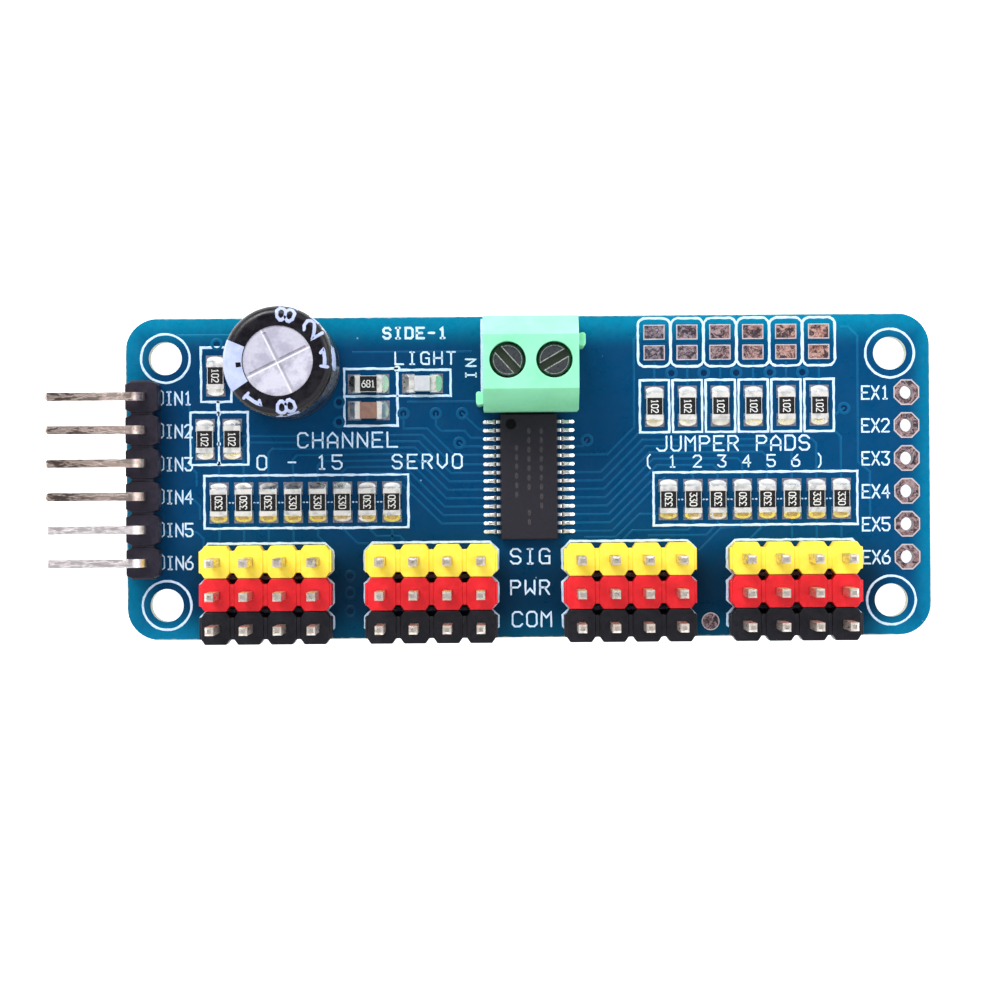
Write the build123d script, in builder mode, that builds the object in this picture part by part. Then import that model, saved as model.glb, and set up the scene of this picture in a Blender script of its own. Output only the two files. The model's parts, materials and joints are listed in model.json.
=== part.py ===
from build123d import *
import os

# Servo driver board: a 62 x 24.8 mm circuit board with a screw terminal, a reservoir capacitor,
# a 28-lead driver chip, four blocks of three-row servo plugs and a six-way control header.
# Millimetres. The origin is the middle of the mounting-hole pattern on the underside;
# +X runs along the board, +Y towards the wire entries and +Z out of the component side.

os.makedirs("parts", exist_ok=True)

# Circuit board
BOARD_LENGTH = 62.0
BOARD_WIDTH = 24.8
BOARD_THICK = 1.6
BOARD_SHIFT_Y = 0.2
CORNER_RADIUS = 2.5
MOUNT_SPACING_X = 55.88
MOUNT_SPACING_Y = 19.05
MOUNT_HOLE = 2.55
COPPER = 0.05

# Header pins and their plastic strips
PITCH = 2.54
PIN_SIZE = 0.64
PIN_HOLE = 1.02
PIN_TAIL = 3.0
PIN_TOP = 8.54
PIN_POINT = 0.16
STRIP_WIDTH = 2.5
STRIP_HEIGHT = 2.54
WEB_LENGTH = 0.35
WEB_DROP = 0.14
WEB_LIFT = 0.3
CELL_BEVEL_X = 0.27
CELL_BEVEL_Y = 0.4

# Servo plug blocks: four blocks, each of three strips with four pins
BLOCK_CELLS = 4
BLOCK_MIDDLE_X = 0.12
BLOCK_PITCH = 12.7
BLOCK_GAP_PITCH = 15.24
SIGNAL_ROW_Y = -6.18

# Control header on the left edge and bare plated holes on the right edge
CONTROL_CELLS = 6
CONTROL_X = -29.55
CONTROL_Y = 0.155
CONTROL_RUN_HEIGHT = 3.95
CONTROL_TIP_X = -36.7
CONTROL_BEND = 0.75
CONTROL_WEB_LENGTH = 0.22
CONTROL_BEVEL_X = 0.19
EXPANSION_X = 29.21
EXPANSION_PAD = 1.88
EXPANSION_HOLE = 1.12
EXPANSION_BORE = 1.02

# Address pads and the test pad
ADDRESS_X = 16.13
ADDRESS_COUNT = 6
ADDRESS_PAD_Y = 10.48
ADDRESS_PAD_SPACING = 1.58
ADDRESS_PAD_LENGTH = 1.7
ADDRESS_PAD_WIDTH = 1.22
ADDRESS_PAD_CORNER = 0.12
TEST_PAD_X = 13.98
TEST_PAD_Y = -11.06
TEST_PAD_DIAMETER = 1.3

# Chip resistors, the chip capacitor and the lamp share one outline
CHIP_LENGTH = 2.0
CHIP_WIDTH = 1.25
RESISTOR_HEIGHT = 0.5
COAT_LENGTH = 1.28
COAT_WIDTH = 1.17
COAT_THICK = 0.05
END_CAP = 0.38
END_SKIN = 0.04
SERIES_PITCH = 1.905
SERIES_COUNT = 8
SERIES_LEFT_X = -17.2
SERIES_RIGHT_X = 17.46
SERIES_Y = -1.65
ADDRESS_RESISTOR_Y = 5.55
PULL_UP_X = -23.86
PULL_UP_Y = 3.26
PULL_UP_SPACING = 2.1
ENABLE_RESISTOR_X = -24.06
ENABLE_RESISTOR_Y = 8.16
LAMP_ROW_Y = 7.45
LAMP_RESISTOR_X = -12.27
CHIP_CAPACITOR_Y = 5.4
CHIP_CAPACITOR_HEIGHT = 0.85
LAMP_X = -8.11
LAMP_SUBSTRATE = 0.3
LAMP_LENS_LENGTH = 1.24
LAMP_LENS_HEIGHT = 0.5
LAMP_DIE = 0.3

# Driver chip
IC_X = 0.05
IC_Y = 0.2
IC_WIDTH = 4.4
IC_LENGTH = 9.7
IC_STANDOFF = 0.1
IC_LEAD_PLANE = 0.55
IC_HEIGHT = 1.05
IC_DRAFT = 10
IC_LEADS_A_SIDE = 14
IC_LEAD_PITCH = 0.65
IC_LEAD_WIDTH = 0.24
IC_LEAD_THICK = 0.14
IC_LEAD_SPAN = 6.4
IC_LEAD_BURIED = 0.4
IC_PADDLE = (3.0, 5.6, 0.14)
IC_DIE = (1.7, 2.6, 0.22)
IC_SHOULDER_RUN = 0.28
IC_FOOT = 0.55
IC_BEND = 0.11
DIMPLE_IN_X = 0.83
DIMPLE_IN_Y = 0.8
DIMPLE_RADIUS = 0.42
DIMPLE_DEPTH = 0.08

# Reservoir capacitor
CAN_X = -18.5
CAN_Y = 8.8
CAN_SLEEVE_RADIUS = 4.08
CAN_HEIGHT = 12.0
SLEEVE_THICK = 0.1
SLEEVE_OPENING = 2.6
CAN_WALL = 0.3
CAN_EDGE = 0.55
CAN_MOUTH = 3.2
BEAD_HEIGHT = 1.9
BEAD_DEPTH = 0.3
BEAD_RADIUS = 0.6
SEAL_THICK = 2.4
WINDING_RADIUS = 3.45
WINDING_CORE = 0.6
WINDING_CLEAR = 0.35
CAN_LEAD_SPACING = 3.5
CAN_LEAD_DIAMETER = 0.6
CAN_LEAD_HOLE = 0.9
CAN_LEAD_TAB = 0.9
VENT_SCORE = 0.28
VENT_SCORE_DEPTH = 0.12
VENT_ANGLE = 26

# Screw terminal, two poles
TERMINAL_X = 0.2
TERMINAL_WIDTH = 7.2
TERMINAL_FRONT_Y = 12.3
TERMINAL_BACK_Y = 5.16
TERMINAL_HEIGHT = 8.6
TERMINAL_FRONT_SHOULDER = 6.5
TERMINAL_BACK_SHOULDER = 6.0
TERMINAL_TOP_FRONT_Y = 10.8
TERMINAL_TOP_BACK_Y = 6.75
POLE_PITCH = 3.5
POLE_Y = 8.9
RIB_DEPTH = 0.55
RIB_LENGTH = 1.15
RIB_NECK = 0.8
RIB_ROUND = 0.22
RIB_ROOT = 0.1
RIB_TOP = 6.3
RIB_RIGHT_Y = 10.5
RIB_LEFT_Y = 6.1

# Rising clamp inside each pole
SCREW_WELL = 2.74
SCREW_HEAD = 2.42
SCREW_HEAD_BOTTOM = 6.55
SCREW_HEAD_TOP = 8.0
SCREW_SHANK = 1.8
SCREW_TIP = 3.22
SCREW_POINT = 0.2
SCREW_RIM = 0.12
SCREW_SEAT_GAP = 0.02
SLOT_WIDTH = 0.56
SLOT_DEPTH = 0.65
SLOT_ANGLES = {"left": -48, "right": 30}
SHOULDER_BOTTOM = 5.8
SHOULDER_HOLE = 2.1
CAGE_WIDTH = 2.7
CAGE_DEPTH = 3.0
CAGE_WALL = 0.4
CAGE_BOTTOM = 0.35
CAGE_HEIGHT = 3.75
CAGE_ROOF = 0.8
CAGE_THREAD = 1.9
CAGE_CLEAR = 0.1
CAGE_EDGE = 0.2
BAR_BOTTOM = 2.7
BAR_THICK = 0.5
BAR_WIDTH = 1.5
BAR_FRONT_Y = 11.1
TAIL_BACK_Y = 6.3
TAIL_THICK = 0.5
TAIL_PIN_WIDTH = 0.8
TAIL_HOLE = 1.3
ENTRY_WIDTH = 2.3
ENTRY_BOTTOM = 0.6
ENTRY_FUNNEL = 0.25

# Solder on the underside
SOLDER_PAD_RADIUS = 0.82
SOLDER_TIP_RADIUS = 0.48
SOLDER_HEIGHT = 0.85
SOLDER_WAIST = 0.3
TAIL_PAD_RADIUS = 1.15
TAIL_TIP_RADIUS = 0.55
LEAD_PAD_RADIUS = 0.8
LEAD_TIP_RADIUS = 0.4

CENTRED_BASE = (Align.CENTER, Align.CENTER, Align.MIN)
CENTRED_TOP = (Align.CENTER, Align.CENTER, Align.MAX)


def row_of(middle_x, y, pitch, count):
    """Places in a row along X, evenly spaced about its middle."""
    first_x = middle_x - pitch * (count - 1) / 2
    return [Location((first_x + pitch * i, y, 0)) for i in range(count)]


def column_of(x, middle_y, pitch, count):
    """Places in a column along Y, evenly spaced about its middle."""
    first_y = middle_y - pitch * (count - 1) / 2
    return [Location((x, first_y + pitch * i, 0)) for i in range(count)]


# Places worked out from the driving dimensions
block_outer_x = BLOCK_GAP_PITCH / 2 + BLOCK_PITCH
block_inner_x = BLOCK_GAP_PITCH / 2
block_middles = [BLOCK_MIDDLE_X + x for x in (-block_outer_x, -block_inner_x, block_inner_x, block_outer_x)]
strip_rows = {
    "signal": SIGNAL_ROW_Y,
    "power": SIGNAL_ROW_Y - PITCH,
    "ground": SIGNAL_ROW_Y - 2 * PITCH,
}
block_pin_spots = [
    [spot for row_y in strip_rows.values() for spot in row_of(middle_x, row_y, PITCH, BLOCK_CELLS)]
    for middle_x in block_middles
]
servo_pin_spots = [spot for block in block_pin_spots for spot in block]
control_pin_spots = column_of(CONTROL_X, CONTROL_Y, PITCH, CONTROL_CELLS)
expansion_spots = column_of(EXPANSION_X, CONTROL_Y, PITCH, CONTROL_CELLS)
series_spots = row_of(SERIES_LEFT_X, SERIES_Y, SERIES_PITCH, SERIES_COUNT)
series_spots += row_of(SERIES_RIGHT_X, SERIES_Y, SERIES_PITCH, SERIES_COUNT)
pull_spots = row_of(ADDRESS_X, ADDRESS_RESISTOR_Y, PITCH, ADDRESS_COUNT)
pull_spots += row_of(PULL_UP_X, PULL_UP_Y, PULL_UP_SPACING, 2)
pull_spots += [Location((ENABLE_RESISTOR_X, ENABLE_RESISTOR_Y, 0))]
lamp_resistor_spots = [Location((LAMP_RESISTOR_X, LAMP_ROW_Y, 0), (0, 0, 90))]
chip_capacitor_spots = [Location((LAMP_RESISTOR_X, CHIP_CAPACITOR_Y, 0), (0, 0, 90))]
lamp_spots = [Location((LAMP_X, LAMP_ROW_Y, 0), (0, 0, 90))]
can_lead_spots = row_of(CAN_X, CAN_Y, CAN_LEAD_SPACING, 2)
pole_x = {"left": TERMINAL_X - POLE_PITCH / 2, "right": TERMINAL_X + POLE_PITCH / 2}
tail_y = TAIL_BACK_Y + TAIL_THICK / 2
tail_spots = [Location((x, tail_y, 0)) for x in pole_x.values()]


# ---------------------------------------------------------------- circuit board
with BuildPart() as circuit_board:
    with BuildSketch() as board_outline:
        with Locations((0, BOARD_SHIFT_Y)):
            RectangleRounded(BOARD_LENGTH, BOARD_WIDTH, CORNER_RADIUS)
        with GridLocations(MOUNT_SPACING_X, MOUNT_SPACING_Y, 2, 2):
            Circle(MOUNT_HOLE / 2, mode=Mode.SUBTRACT)
        with Locations(*servo_pin_spots, *control_pin_spots):
            Circle(PIN_HOLE / 2, mode=Mode.SUBTRACT)
        with Locations(*expansion_spots):
            Circle(EXPANSION_HOLE / 2, mode=Mode.SUBTRACT)
        with Locations(*can_lead_spots):
            Circle(CAN_LEAD_HOLE / 2, mode=Mode.SUBTRACT)
        with Locations(*tail_spots):
            Circle(TAIL_HOLE / 2, mode=Mode.SUBTRACT)
    extrude(amount=BOARD_THICK)
circuit_board.part.label = "circuit_board"
export_step(circuit_board.part, "parts/circuit_board.step")


# ---------------------------------------------------------------- bare copper
# Each plated hole is a barrel through the board with an eight-sided pad on both faces.
with BuildPart() as expansion_pads:
    with BuildSketch(Plane.XY.offset(-COPPER)) as lower_pads:
        with Locations(*expansion_spots):
            RegularPolygon(EXPANSION_PAD / 2, 8, major_radius=False, rotation=22.5)
    extrude(amount=COPPER)
    with BuildSketch(Plane.XY.offset(BOARD_THICK)) as upper_pads:
        with Locations(*expansion_spots):
            RegularPolygon(EXPANSION_PAD / 2, 8, major_radius=False, rotation=22.5)
    extrude(amount=COPPER)
    with BuildSketch() as barrels:
        with Locations(*expansion_spots):
            Circle(EXPANSION_HOLE / 2)
    extrude(amount=BOARD_THICK)
    with BuildSketch(Plane.XY.offset(-COPPER)) as bores:
        with Locations(*expansion_spots):
            Circle(EXPANSION_BORE / 2)
    extrude(amount=BOARD_THICK + 2 * COPPER, mode=Mode.SUBTRACT)
expansion_pads.part.label = "expansion_pads"
export_step(expansion_pads.part, "parts/expansion_pads.step")

with BuildPart() as address_pads:
    with BuildSketch(Plane.XY.offset(BOARD_THICK)):
        with Locations((ADDRESS_X, ADDRESS_PAD_Y)):
            with GridLocations(PITCH, ADDRESS_PAD_SPACING, ADDRESS_COUNT, 2):
                RectangleRounded(ADDRESS_PAD_LENGTH, ADDRESS_PAD_WIDTH, ADDRESS_PAD_CORNER)
    extrude(amount=COPPER)
address_pads.part.label = "address_pads"
export_step(address_pads.part, "parts/address_pads.step")

with BuildPart() as test_pad:
    with BuildSketch(Plane.XY.offset(BOARD_THICK)):
        with Locations((TEST_PAD_X, TEST_PAD_Y)):
            Circle(TEST_PAD_DIAMETER / 2)
    extrude(amount=COPPER)
test_pad.part.label = "test_pad"
export_step(test_pad.part, "parts/test_pad.step")


# ---------------------------------------------------------------- header strips
def strip_housing(plane, cells, web_length=WEB_LENGTH, bevel_x=CELL_BEVEL_X):
    """A row of bevelled square cells joined by lower webs, pierced by one square hole a cell."""
    half_x = (PITCH - web_length) / 2
    half_y = STRIP_WIDTH / 2
    corner_x = half_x - bevel_x
    corner_y = half_y - CELL_BEVEL_Y
    web_width = 2 * corner_y
    with BuildPart(plane) as housing:
        with BuildSketch(plane):
            with GridLocations(PITCH, 0, cells, 1):
                Polygon(
                    (-half_x, -corner_y),
                    (-corner_x, -half_y),
                    (corner_x, -half_y),
                    (half_x, -corner_y),
                    (half_x, corner_y),
                    (corner_x, half_y),
                    (-corner_x, half_y),
                    (-half_x, corner_y),
                )
        extrude(amount=STRIP_HEIGHT)
        with BuildSketch(plane.offset(WEB_LIFT)):
            Rectangle(PITCH * cells, web_width)
        extrude(amount=STRIP_HEIGHT - WEB_DROP - WEB_LIFT)
        with BuildSketch(plane):
            with GridLocations(PITCH, 0, cells, 1):
                Rectangle(PIN_SIZE, PIN_SIZE)
        extrude(amount=STRIP_HEIGHT, mode=Mode.SUBTRACT)
    return housing


for strip, row_y in strip_rows.items():
    for number, middle_x in enumerate(block_middles, start=1):
        name = f"{strip}_housing_{number}"
        strip_plane = Plane(origin=(middle_x, row_y, BOARD_THICK))
        housing = strip_housing(strip_plane, BLOCK_CELLS)
        housing.part.label = name
        export_step(housing.part, f"parts/{name}.step")

for number, spots in enumerate(block_pin_spots, start=1):
    with BuildPart() as servo_pins:
        with BuildSketch(Plane.XY.offset(BOARD_THICK - PIN_TAIL)):
            with Locations(*spots):
                Rectangle(PIN_SIZE, PIN_SIZE)
        extrude(amount=PIN_TAIL + PIN_TOP)
        chamfer(servo_pins.edges().group_by(Axis.Z)[0], PIN_POINT)
        chamfer(servo_pins.edges().group_by(Axis.Z)[-1], PIN_POINT)
    servo_pins.part.label = f"servo_pins_{number}"
    export_step(servo_pins.part, f"parts/servo_pins_{number}.step")


# ---------------------------------------------------------------- control header
control_plane = Plane(origin=(CONTROL_X, CONTROL_Y, BOARD_THICK), x_dir=(0, 1, 0), z_dir=(0, 0, 1))
control_header_housing = strip_housing(control_plane, CONTROL_CELLS, CONTROL_WEB_LENGTH, CONTROL_BEVEL_X)
control_header_housing.part.label = "control_header_housing"
export_step(control_header_housing.part, "parts/control_header_housing.step")

# One square pin: up through its cell, then bent over to run past the left edge of the board.
with BuildPart() as control_pin:
    with BuildSketch(Plane.XZ):
        with BuildLine():
            FilletPolyline(
                (CONTROL_X, BOARD_THICK - PIN_TAIL),
                (CONTROL_X, BOARD_THICK + CONTROL_RUN_HEIGHT),
                (CONTROL_TIP_X, BOARD_THICK + CONTROL_RUN_HEIGHT),
                radius=CONTROL_BEND,
            )
        trace(line_width=PIN_SIZE)
    extrude(amount=PIN_SIZE / 2, both=True)
    chamfer(control_pin.faces().sort_by(Axis.X)[0].edges(), PIN_POINT)
    chamfer(control_pin.faces().sort_by(Axis.Z)[0].edges(), PIN_POINT)

with BuildPart() as control_header_pins:
    with Locations(*column_of(0, CONTROL_Y, PITCH, CONTROL_CELLS)):
        add(control_pin.part)
control_header_pins.part.label = "control_header_pins"
export_step(control_header_pins.part, "parts/control_header_pins.step")


# ---------------------------------------------------------------- reservoir capacitor
can_plane = Plane(origin=(CAN_X, CAN_Y, BOARD_THICK))
bead_ring_radius = CAN_SLEEVE_RADIUS - SLEEVE_THICK - BEAD_DEPTH + BEAD_RADIUS


def can_envelope(inset, bottom, top, edge_radius):
    """A round-edged cylinder about the Z axis, inset from the sleeve, with a bead rolled into it."""
    with BuildPart(Plane.XY.offset(bottom)) as envelope:
        Cylinder(CAN_SLEEVE_RADIUS - inset, top - bottom, align=CENTRED_BASE)
        fillet(envelope.edges().filter_by(GeomType.CIRCLE), edge_radius)
        with Locations((0, 0, BEAD_HEIGHT - bottom)):
            Torus(bead_ring_radius, BEAD_RADIUS - SLEEVE_THICK + inset, mode=Mode.SUBTRACT)
    return envelope.part


can_bottom = SLEEVE_THICK
can_top = CAN_HEIGHT - SLEEVE_THICK
sleeve_envelope = can_envelope(0, 0, CAN_HEIGHT, CAN_EDGE + SLEEVE_THICK)
metal_envelope = can_envelope(SLEEVE_THICK, can_bottom, can_top, CAN_EDGE)
hollow_bottom = can_bottom + CAN_WALL
hollow_top = can_top - CAN_WALL
hollow = can_envelope(SLEEVE_THICK + CAN_WALL, hollow_bottom, hollow_top, CAN_EDGE - CAN_WALL)

with BuildPart(can_plane) as capacitor_sleeve:
    add(sleeve_envelope)
    add(metal_envelope, mode=Mode.SUBTRACT)
    with Locations((0, 0, CAN_HEIGHT)):
        Cylinder(SLEEVE_OPENING, SLEEVE_THICK, align=CENTRED_TOP, mode=Mode.SUBTRACT)
    Cylinder(CAN_MOUTH, SLEEVE_THICK, align=CENTRED_BASE, mode=Mode.SUBTRACT)
capacitor_sleeve.part.label = "capacitor_sleeve"
export_step(capacitor_sleeve.part, "parts/capacitor_sleeve.step")

# The vent is a cross scored into the bare disc of the can's top.
with BuildPart(can_plane) as capacitor_can:
    add(metal_envelope)
    add(hollow, mode=Mode.SUBTRACT)
    with Locations((0, 0, can_bottom)):
        Cylinder(CAN_MOUTH, CAN_WALL, align=CENTRED_BASE, mode=Mode.SUBTRACT)
    with BuildSketch(can_plane.offset(can_top)):
        Rectangle(2 * SLEEVE_OPENING, VENT_SCORE, rotation=VENT_ANGLE)
        Rectangle(2 * SLEEVE_OPENING, VENT_SCORE, rotation=VENT_ANGLE + 90)
        Circle(SLEEVE_OPENING - VENT_SCORE, mode=Mode.INTERSECT)
    extrude(amount=-VENT_SCORE_DEPTH, mode=Mode.SUBTRACT)
capacitor_can.part.label = "capacitor_can"
export_step(capacitor_can.part, "parts/capacitor_can.step")

# The rubber bung fills the lower end of the can and takes the shape of the bead.
with BuildPart(can_plane) as capacitor_seal:
    add(hollow)
    with Locations((0, 0, hollow_bottom)):
        Cylinder(CAN_SLEEVE_RADIUS, SEAL_THICK, align=CENTRED_BASE, mode=Mode.INTERSECT)
    with GridLocations(CAN_LEAD_SPACING, 0, 2, 1):
        Cylinder(CAN_LEAD_DIAMETER / 2, CAN_HEIGHT, mode=Mode.SUBTRACT)
capacitor_seal.part.label = "capacitor_seal"
export_step(capacitor_seal.part, "parts/capacitor_seal.step")

winding_bottom = hollow_bottom + SEAL_THICK + WINDING_CLEAR
winding_top = hollow_top - WINDING_CLEAR
lead_top = winding_bottom + CAN_LEAD_TAB
with BuildPart(can_plane.offset(winding_bottom)) as capacitor_winding:
    Cylinder(WINDING_RADIUS, winding_top - winding_bottom, align=CENTRED_BASE)
    Cylinder(WINDING_CORE, winding_top - winding_bottom, align=CENTRED_BASE, mode=Mode.SUBTRACT)
    with GridLocations(CAN_LEAD_SPACING, 0, 2, 1):
        Cylinder(CAN_LEAD_DIAMETER / 2, CAN_LEAD_TAB, align=CENTRED_BASE, mode=Mode.SUBTRACT)
capacitor_winding.part.label = "capacitor_winding"
export_step(capacitor_winding.part, "parts/capacitor_winding.step")

with BuildPart(can_plane.offset(lead_top)) as capacitor_leads:
    with GridLocations(CAN_LEAD_SPACING, 0, 2, 1):
        Cylinder(CAN_LEAD_DIAMETER / 2, lead_top + PIN_TAIL, align=CENTRED_TOP)
capacitor_leads.part.label = "capacitor_leads"
export_step(capacitor_leads.part, "parts/capacitor_leads.step")


# ---------------------------------------------------------------- screw terminal
cage_room_width = CAGE_WIDTH + 2 * CAGE_CLEAR
cage_room_front = POLE_Y + CAGE_DEPTH / 2 + CAGE_CLEAR
cage_room_back = POLE_Y - CAGE_DEPTH / 2 - CAGE_CLEAR
bar_top = BAR_BOTTOM + BAR_THICK
terminal_plane = Plane.XY.offset(BOARD_THICK)


def side_rib(side_x, rib_y, outward):
    """A dovetail rib standing out of one side wall, wider at its outer edge."""
    root_x = side_x - RIB_ROOT * outward
    edge_x = side_x + RIB_DEPTH * outward
    with BuildPart() as rib:
        with BuildSketch(terminal_plane):
            Polygon(
                (root_x, rib_y - RIB_NECK / 2),
                (edge_x, rib_y - RIB_LENGTH / 2),
                (edge_x, rib_y + RIB_LENGTH / 2),
                (root_x, rib_y + RIB_NECK / 2),
                align=None,
            )
        extrude(amount=RIB_TOP)
        outer_corners = rib.edges().filter_by(Axis.Z).sort_by(Axis.X)
        fillet(outer_corners[-2:] if outward > 0 else outer_corners[:2], RIB_ROUND)
    return rib.part


right_rib = side_rib(TERMINAL_X + TERMINAL_WIDTH / 2, RIB_RIGHT_Y, 1)
left_rib = side_rib(TERMINAL_X - TERMINAL_WIDTH / 2, RIB_LEFT_Y, -1)

with BuildPart() as terminal_housing:
    with BuildSketch(Plane.YZ.offset(TERMINAL_X)) as side_profile:
        with BuildLine():
            Polyline(
                (TERMINAL_BACK_Y, BOARD_THICK),
                (TERMINAL_FRONT_Y, BOARD_THICK),
                (TERMINAL_FRONT_Y, BOARD_THICK + TERMINAL_FRONT_SHOULDER),
                (TERMINAL_TOP_FRONT_Y, BOARD_THICK + TERMINAL_HEIGHT),
                (TERMINAL_TOP_BACK_Y, BOARD_THICK + TERMINAL_HEIGHT),
                (TERMINAL_BACK_Y, BOARD_THICK + TERMINAL_BACK_SHOULDER),
                close=True,
            )
        make_face()
    extrude(amount=TERMINAL_WIDTH / 2, both=True)
    add(right_rib)
    add(left_rib)
    for x in pole_x.values():
        # Well for the screw head, and the smaller hole below it for the shank
        with Locations((x, POLE_Y, BOARD_THICK + TERMINAL_HEIGHT)):
            Cylinder(
                SCREW_WELL / 2,
                TERMINAL_HEIGHT - SCREW_HEAD_BOTTOM,
                align=CENTRED_TOP,
                mode=Mode.SUBTRACT,
            )
        with Locations((x, POLE_Y, BOARD_THICK + SHOULDER_BOTTOM)):
            Cylinder(
                SHOULDER_HOLE / 2,
                TERMINAL_HEIGHT - SHOULDER_BOTTOM,
                align=CENTRED_BASE,
                mode=Mode.SUBTRACT,
            )
        # Room for the cage, open below
        with BuildSketch(terminal_plane):
            with Locations((x, POLE_Y)):
                Rectangle(cage_room_width, CAGE_DEPTH + 2 * CAGE_CLEAR)
        extrude(amount=SHOULDER_BOTTOM, mode=Mode.SUBTRACT)
        # Slot behind the cage for the contact's tail
        with BuildSketch(terminal_plane):
            with Locations((x, (TAIL_BACK_Y + cage_room_back) / 2)):
                Rectangle(BAR_WIDTH, cage_room_back - TAIL_BACK_Y)
        extrude(amount=bar_top, mode=Mode.SUBTRACT)
        # Wire entry in the front face, with a shallow funnel around it
        with BuildSketch(Plane.XZ.offset(-TERMINAL_FRONT_Y)) as entry:
            with Locations((x, BOARD_THICK + (ENTRY_BOTTOM + bar_top) / 2)):
                Rectangle(ENTRY_WIDTH, bar_top - ENTRY_BOTTOM)
        extrude(amount=TERMINAL_FRONT_Y - cage_room_front, mode=Mode.SUBTRACT)
    front_face = terminal_housing.faces().sort_by(Axis.Y)[-1]
    chamfer([wire.edges() for wire in front_face.inner_wires()], ENTRY_FUNNEL)
terminal_housing.part.label = "terminal_housing"
export_step(terminal_housing.part, "parts/terminal_housing.step")

# Contact: a bar that reaches through the cage, a tail down the back and a solder pin.
with BuildPart() as terminal_contacts:
    for x in pole_x.values():
        with BuildSketch(Plane.YZ.offset(x)) as contact_profile:
            with BuildLine():
                Polyline(
                    (TAIL_BACK_Y, BOARD_THICK),
                    (TAIL_BACK_Y + TAIL_THICK, BOARD_THICK),
                    (TAIL_BACK_Y + TAIL_THICK, BOARD_THICK + BAR_BOTTOM),
                    (BAR_FRONT_Y, BOARD_THICK + BAR_BOTTOM),
                    (BAR_FRONT_Y, BOARD_THICK + bar_top),
                    (TAIL_BACK_Y, BOARD_THICK + bar_top),
                    close=True,
                )
            make_face()
        extrude(amount=BAR_WIDTH / 2, both=True)
        with BuildSketch(Plane.XY.offset(BOARD_THICK - PIN_TAIL)):
            with Locations((x, tail_y)):
                Rectangle(TAIL_PIN_WIDTH, TAIL_THICK)
        extrude(amount=PIN_TAIL)
terminal_contacts.part.label = "terminal_contacts"
export_step(terminal_contacts.part, "parts/terminal_contacts.step")

# Screws and the cages they lift. The cage is a square tube with a threaded roof.
for side, x in pole_x.items():
    screw_plane = Plane(origin=(x, POLE_Y, BOARD_THICK))
    with BuildPart(screw_plane) as screw:
        with Locations((0, 0, SCREW_TIP)):
            Cylinder(SCREW_SHANK / 2, SCREW_HEAD_TOP - SCREW_TIP, align=CENTRED_BASE)
        chamfer(screw.edges().group_by(Axis.Z)[0], SCREW_POINT)
        head_seat = SCREW_HEAD_BOTTOM + SCREW_SEAT_GAP
        with Locations((0, 0, head_seat)):
            Cylinder(SCREW_HEAD / 2, SCREW_HEAD_TOP - head_seat, align=CENTRED_BASE)
        fillet(screw.edges().group_by(Axis.Z)[-1], SCREW_RIM)
        with Locations(Location((0, 0, SCREW_HEAD_TOP), (0, 0, SLOT_ANGLES[side]))):
            Box(SCREW_HEAD * 2, SLOT_WIDTH, SLOT_DEPTH, align=CENTRED_TOP, mode=Mode.SUBTRACT)
    screw.part.label = f"terminal_screw_{side}"
    export_step(screw.part, f"parts/terminal_screw_{side}.step")

    with BuildPart(screw_plane.offset(CAGE_BOTTOM)) as cage:
        Box(CAGE_WIDTH, CAGE_DEPTH, CAGE_HEIGHT, align=CENTRED_BASE)
        fillet(cage.edges().filter_by(Axis.Y), CAGE_EDGE)
        with Locations((0, 0, CAGE_WALL)):
            Box(
                CAGE_WIDTH - 2 * CAGE_WALL,
                CAGE_DEPTH,
                CAGE_HEIGHT - CAGE_WALL - CAGE_ROOF,
                align=CENTRED_BASE,
                mode=Mode.SUBTRACT,
            )
        with Locations((0, 0, CAGE_HEIGHT)):
            Cylinder(CAGE_THREAD / 2, CAGE_ROOF, align=CENTRED_TOP, mode=Mode.SUBTRACT)
    cage.part.label = f"terminal_cage_{side}"
    export_step(cage.part, f"parts/terminal_cage_{side}.step")


# ---------------------------------------------------------------- driver chip
lead_plane_z = BOARD_THICK + IC_LEAD_PLANE
lead_knee_x = IC_WIDTH / 2 + IC_SHOULDER_RUN
lead_heel_x = IC_LEAD_SPAN / 2 - IC_FOOT
lead_foot_z = BOARD_THICK + IC_LEAD_THICK / 2

# One gull-wing lead on the +X side, drawn about the chip's middle.
with BuildPart() as one_lead:
    with BuildSketch(Plane.XZ):
        with BuildLine():
            FilletPolyline(
                (IC_WIDTH / 2 - IC_LEAD_BURIED, lead_plane_z),
                (lead_knee_x, lead_plane_z),
                (lead_heel_x, lead_foot_z),
                (IC_LEAD_SPAN / 2, lead_foot_z),
                radius=IC_BEND,
            )
        trace(line_width=IC_LEAD_THICK)
    extrude(amount=IC_LEAD_WIDTH / 2, both=True)

with BuildPart() as driver_ic_leads:
    with Locations((IC_X, IC_Y)):
        with GridLocations(0, IC_LEAD_PITCH, 1, IC_LEADS_A_SIDE):
            with Locations(Location((0, 0, 0)), Location((0, 0, 0), (0, 0, 180))):
                add(one_lead.part)
driver_ic_leads.part.label = "driver_ic_leads"
export_step(driver_ic_leads.part, "parts/driver_ic_leads.step")

ic_plane = Plane(origin=(IC_X, IC_Y, lead_plane_z - IC_LEAD_THICK / 2))
with BuildPart(ic_plane) as driver_ic_paddle:
    Box(*IC_PADDLE, align=CENTRED_BASE)
driver_ic_paddle.part.label = "driver_ic_paddle"
export_step(driver_ic_paddle.part, "parts/driver_ic_paddle.step")

with BuildPart(ic_plane.offset(IC_PADDLE[2])) as driver_ic_die:
    Box(*IC_DIE, align=CENTRED_BASE)
driver_ic_die.part.label = "driver_ic_die"
export_step(driver_ic_die.part, "parts/driver_ic_die.step")

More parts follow.
